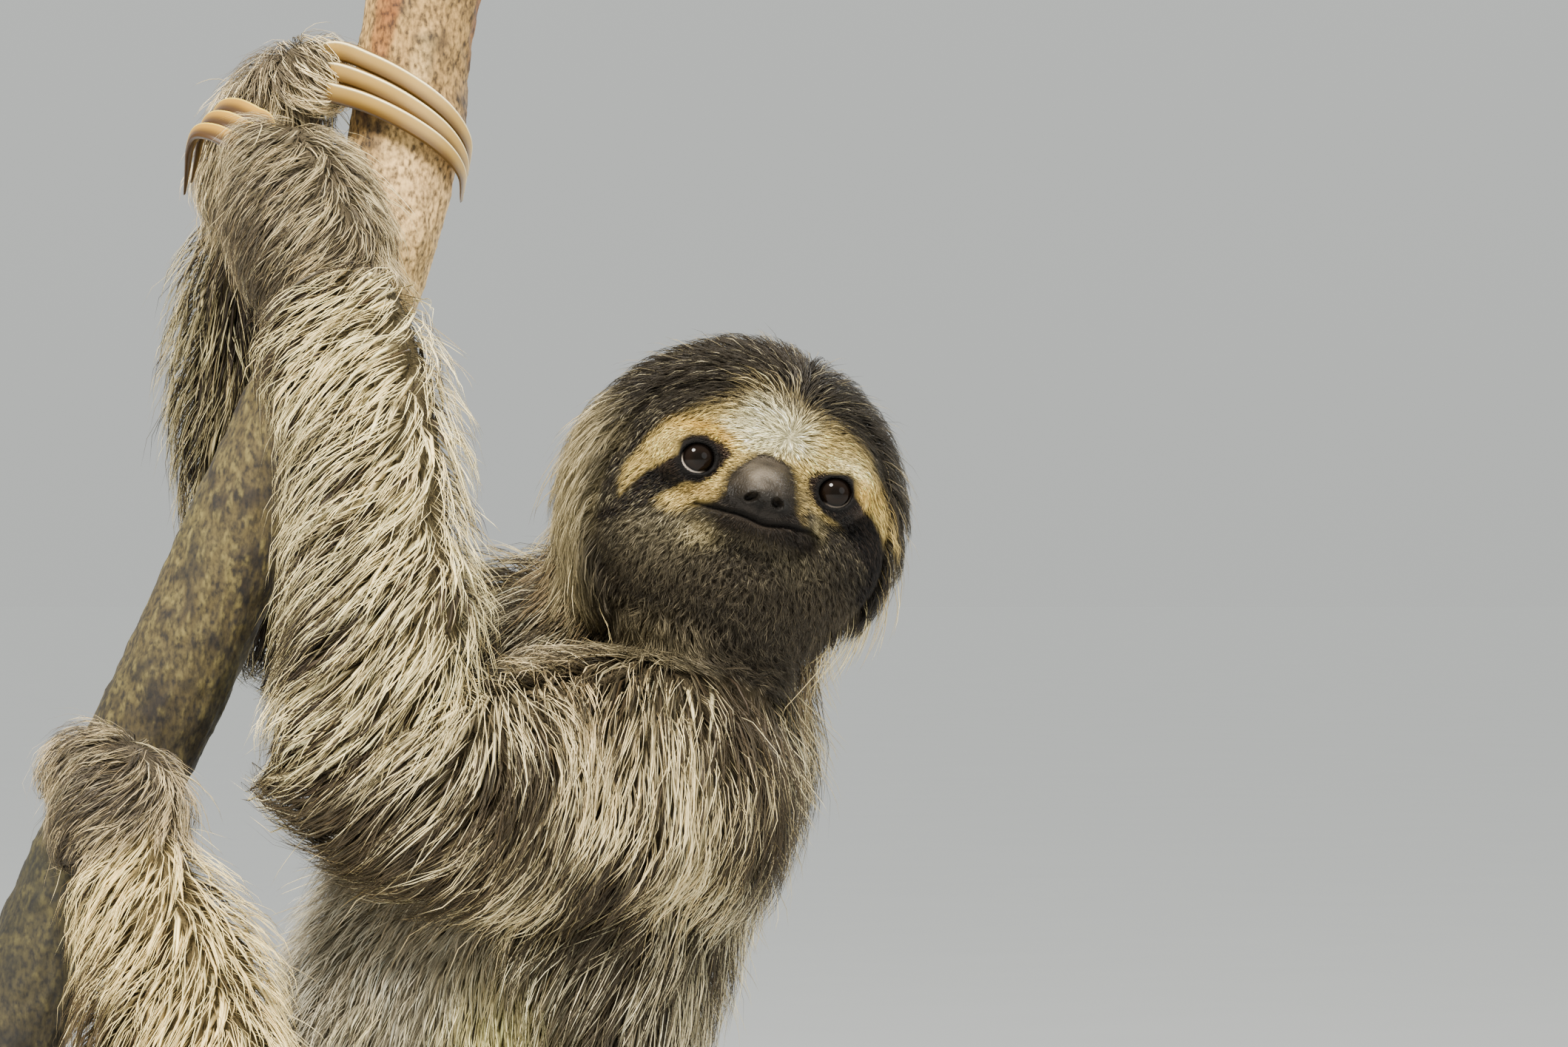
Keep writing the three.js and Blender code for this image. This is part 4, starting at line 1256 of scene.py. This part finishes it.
def build_claw(limb, number, points, lateral, outward, toe):
    """One claw swept along its points, with its root drawn in towards the toe."""
    points = np.array(points)
    points = np.vstack([points[0] * 0.35 + np.array(toe[:3]) * 0.65, points])
    u = np.linspace(0, 1, 44)
    sides = 64
    centres = catmull(points, u)
    forward = unit(np.gradient(centres, axis=0))
    across = unit(lateral - forward * np.sum(lateral * forward, axis=1, keepdims=True))
    out = np.cross(forward, across)
    out = out * np.sign(np.sum(out * outward(centres), axis=1, keepdims=True))
    grow = 1 - u ** 2.6
    deep, thick = 0.5 + 2.6 * grow, 0.6 + 2.55 * grow
    if limb == "near_hand":
        root = 0.35 + 0.65 * smooth(0.02, 0.32, u)
        deep, thick = deep * root, thick * root
    a, b = claw_section(sides)
    rings = (centres[:, None] + out[:, None] * (deep[:, None] * a)[..., None]
             + across[:, None] * (thick[:, None] * b)[..., None])
    verts = np.vstack([centres[:1], rings.reshape(-1, 3), centres[-1:]])
    flank, outside_edge = (np.r_[0, np.tile(k, len(u)), 0] for k in (b, a))
    c = claw_colour(verts, np.r_[0, np.repeat(u, sides), 1], flank, outside_edge)
    # Painted shade: the near hand's claws are darker, and darker still on their lower flank.
    if limb == "near_hand":
        c = c * (0.74, 0.62, 0.17) * (1 - 0.4 * smooth(0.5, -0.5, flank))[:, None]
    c = c * (1 + 0.08 * wave(verts * (1, 1, 3), 3.5, 4))[:, None]
    obj = new_object(f"{limb}_claw_horn_{number}", verts, ring_faces(len(u), sides), c)
    bm = bmesh.new()
    bm.from_mesh(obj.data)
    bmesh.ops.recalc_face_normals(bm, faces=bm.faces)
    bm.to_mesh(obj.data)
    bm.free()
    finish_piece(obj, "claw", [f"{limb}_claw_{number}"])


def from_bough(c):
    """The way out from the bough's straight pieces at each point."""
    return np.c_[c[:, 0] - np.interp(c[:, 2], BOUGH[::-1, 2], BOUGH[::-1, 0]), c[:, 1], 0 * c[:, 0]]


def wrapped_claw(limb, n):
    """One claw that wraps the bough, as WRAPPED says."""
    w = WRAPPED[limb]
    point, up = bough_at(w["z"] - n * w["pitch"])
    right = np.array([up[2], 0, -up[0]])
    points = []
    for t in (0, 0.2, 0.4, 0.6, 0.8, 1):
        turn = math.radians(w["start"] + (w["end"] - w["start"]) * t)
        radius = w["root"] + (w["tip"] - w["root"]) * math.sqrt(t)
        slide = -w["drop"][n] * t ** 1.6 - w["tuck"] * (1 - t) ** 3
        lean = bough_at(point[2] + slide)[0] - point
        lean[2] = slide
        round_it = right * radius * math.sin(turn) + np.array([0, -radius * math.cos(turn), 0])
        points.append(point + lean + round_it)
    build_claw(limb, n + 1, points, up, from_bough, LIMBS[limb][-2])


def hooked_claw(n):
    """One claw of the near hand, which hooks over air."""
    root, crest, tip = (np.array(first, float) + n * np.array(step, float) for first, step in HOOKED.values())
    points = catmull([root, crest, tip], np.linspace(0, 1, 7))
    inside = (root + tip) / 2 - (0, 0, 6)
    build_claw("near_hand", n + 1, points, unit(np.array([0.35, 0.8, 0.3])), lambda c: c - inside, (-52, -30, 511))


for limb in WRAPPED:
    for n in range(3):
        wrapped_claw(limb, n)
for n in range(3):
    hooked_claw(n)

# ------------------------------------------------------------------ bough and stand

KNOBS = [((4, -10, 528), 7, 2.4), ((-6, -16, 498), 9, 1.6), ((-12, -15, 474), 8, 1.6), ((-100, -16, 330), 8, 1.2)]


def bark_relief(flat):
    """Coarse, fine and broad unevenness at points of the bough, each from about -1 to 1."""
    coarse = np.array([noise.fractal(Vector(p) / 9, 0.9, 2.1, 4) for p in flat])
    fine = np.array([noise.fractal(Vector((p[0], p[1], p[2] * 0.6)) / 2.6, 0.9, 2.1, 3) for p in flat])
    return coarse, fine, np.array([noise.noise(Vector(p) / 38) for p in flat])


def bark_colour(flat, out, middle_x, coarse, fine, broad):
    """Mossy patches low down, redder and streaked high up, and peeled to pale wood beside the near hand; painted
    shade makes the lower bough darker and greener, and painted light makes the top lighter.
    """
    z = flat[:, 2]
    high = smooth(440, 520, z)
    c = mix(rgb("544629"), rgb("2c2113"), smooth(-0.1, 0.6, coarse))
    c = mix(c, rgb("8a7a4c"), smooth(0.05, 0.5, fine) * 0.6)
    c = mix(c, mix(rgb("8d7040"), rgb("4c3a20"), smooth(-0.1, 0.5, coarse)), high * 0.85)
    c = mix(c, rgb("4d4a26"), 0.5 * (1 - high) * smooth(-0.3, 0.5, broad))
    round_it = np.arctan2(flat[:, 1], flat[:, 0] - middle_x) * 17
    streak = wave(np.c_[round_it, z * 0.12, 0 * z], 5, 3)
    c = mix(c, rgb("6c3d10"), smooth(0.3, 0.6, streak) * high * 0.7)
    c = mix(c, rgb("b39a68"), smooth(-0.3, -0.6, streak) * high * 0.5)
    peeled = peak(z, 490, 28) * smooth(-0.1, 0.6, out @ unit(np.array([0.75, -0.7, 0])))
    wood = mix(rgb("d6b27a"), rgb("8e6434"), smooth(-0.2, 0.5, streak))
    c = mix(c, wood, np.clip(peeled * 1.3, 0, 1) * 0.9)
    # Painted light and shade: lighter at the top, darker and greener down the bough.
    light = 1 + 0.4 * smooth(500, 560, z) - 0.24 * smooth(480, 430, z) - 0.46 * smooth(400, 300, z)
    c = c * ((0.85 + 0.3 * smooth(-0.4, 0.4, broad)) * light)[:, None]
    return c * mix((0.93, 1.0, 0.84), (1, 1, 1), high)


def build_bough():
    """The bough with its bark, down to the flange of the stand."""
    sides = 120
    line = catmull(BOUGH, np.linspace(0, 1, 420))
    line = line[line[:, 2] > BOUGH_FOOT]
    b = np.tile([0.0, 1.0, 0.0], (len(line), 1))
    a = np.cross(unit(np.gradient(line, axis=0)), b)
    turn = np.arange(sides) * 2 * np.pi / sides
    out = a[:, None] * np.cos(turn)[None, :, None] + b[:, None] * np.sin(turn)[None, :, None]
    flat = (line[:, None] + out * BOUGH_RADIUS).reshape(-1, 3)
    out = out.reshape(-1, 3)
    coarse, fine, broad = bark_relief(flat)
    knobs = sum(tall * np.exp(-np.sum((flat - at) ** 2, axis=1) / reach ** 2) for at, reach, tall in KNOBS)
    shape = flat + out * (0.6 * coarse + 0.35 * fine + 0.9 * broad + knobs - 0.6)[:, None]
    c = bark_colour(flat, out, line.repeat(sides, 0)[:, 0], coarse, fine, broad)
    cut = rgb("b79b6e")
    obj = new_object("bough_bark", np.vstack([line[:1], shape, line[-1:]]), ring_faces(len(line), sides),
                     np.vstack([cut, c, cut]))
    finish_piece(obj, "bark", ["perch_bough"])


def build_round(name, node, radius, low, high, x):
    """An upright round of steel with its edges broken by 0.6 mm."""
    profile = [(radius - 0.6, low), (radius, low + 0.6), (radius, high - 0.6), (radius - 0.6, high)]
    sides = 72
    turn = np.arange(sides) * 2 * np.pi / sides
    rings = [np.c_[x + r * np.cos(turn), r * np.sin(turn), np.full(sides, z)] for r, z in profile]
    verts = np.vstack([[(x, 0, low)], *rings, [(x, 0, high)]])
    obj = new_object(name, verts, [tuple(reversed(f)) for f in ring_faces(4, sides)], smooth_shade=False)
    finish_piece(obj, "steel", [node])


build_bough()
foot = bough_at(BOUGH_FOOT)[0][0]
build_round("stand_flange_disc", "stand_flange", 22, BOUGH_FOOT - 5.4, BOUGH_FOOT - 0.4, foot)
build_round("stand_rod_round", "stand_rod", 9, 20.4, BOUGH_FOOT - 5.8, foot)
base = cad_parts["stand_base"]
base.data.materials.clear()
base.data.materials.append(LOOKS["board"])

# ------------------------------------------------------------------ floor, light and camera

bpy.ops.mesh.primitive_circle_add(vertices=128, radius=40, fill_type="NGON", location=(0, 0, -0.0005))
floor = bpy.context.object
floor.name = "floor"
floor.data.materials.append(LOOKS["floor"])

world = bpy.context.scene.world or bpy.data.worlds.new("world")
bpy.context.scene.world = world
world.use_nodes = True
sky_nodes, sky_links = world.node_tree.nodes, world.node_tree.links
direction = sky_nodes.new("ShaderNodeTexCoord")
height = sky_nodes.new("ShaderNodeSeparateXYZ")
sky_links.new(direction.outputs["Generated"], height.inputs["Vector"])
sky = ramp(sky_nodes, sky_links, height.outputs["Z"], [(0.0, (0.60, 0.62, 0.60)), (0.5, (0.86, 0.88, 0.86))])
sky_links.new(sky, sky_nodes["Background"].inputs["Color"])
sky_nodes["Background"].inputs["Strength"].default_value = 1.0


def area_light(name, place, target, size, power, colour=(1, 1, 1)):
    lamp = bpy.data.lights.new(name, "AREA")
    lamp.shape = "DISK"
    lamp.size = size
    lamp.energy = power
    lamp.color = colour
    obj = bpy.data.objects.new(name, lamp)
    obj.location = place
    obj.rotation_euler = (Vector(target) - Vector(place)).to_track_quat("-Z", "Y").to_euler()
    bpy.context.scene.collection.objects.link(obj)


area_light("key", (-0.35, -1.95, 2.3), (0.0, 0, 0.38), 0.8, 310, (1, 0.96, 0.89))
area_light("fill", (2.2, -1.8, 1.0), (0.05, 0, 0.36), 1.6, 25, (0.94, 0.98, 1))
area_light("rim", (1.3, 1.7, 1.7), (0.03, 0, 0.4), 1.0, 60)

camera = bpy.data.objects.new("camera", bpy.data.cameras.new("camera"))
camera.data.sensor_width = 36
camera.data.lens = 198.8
camera.data.clip_end = 100
camera.location = (0.1021, -2.6, 0.410)
camera.rotation_euler = (math.radians(90), 0, 0)
bpy.context.scene.collection.objects.link(camera)
bpy.context.scene.camera = camera

bpy.context.view_layer.update()
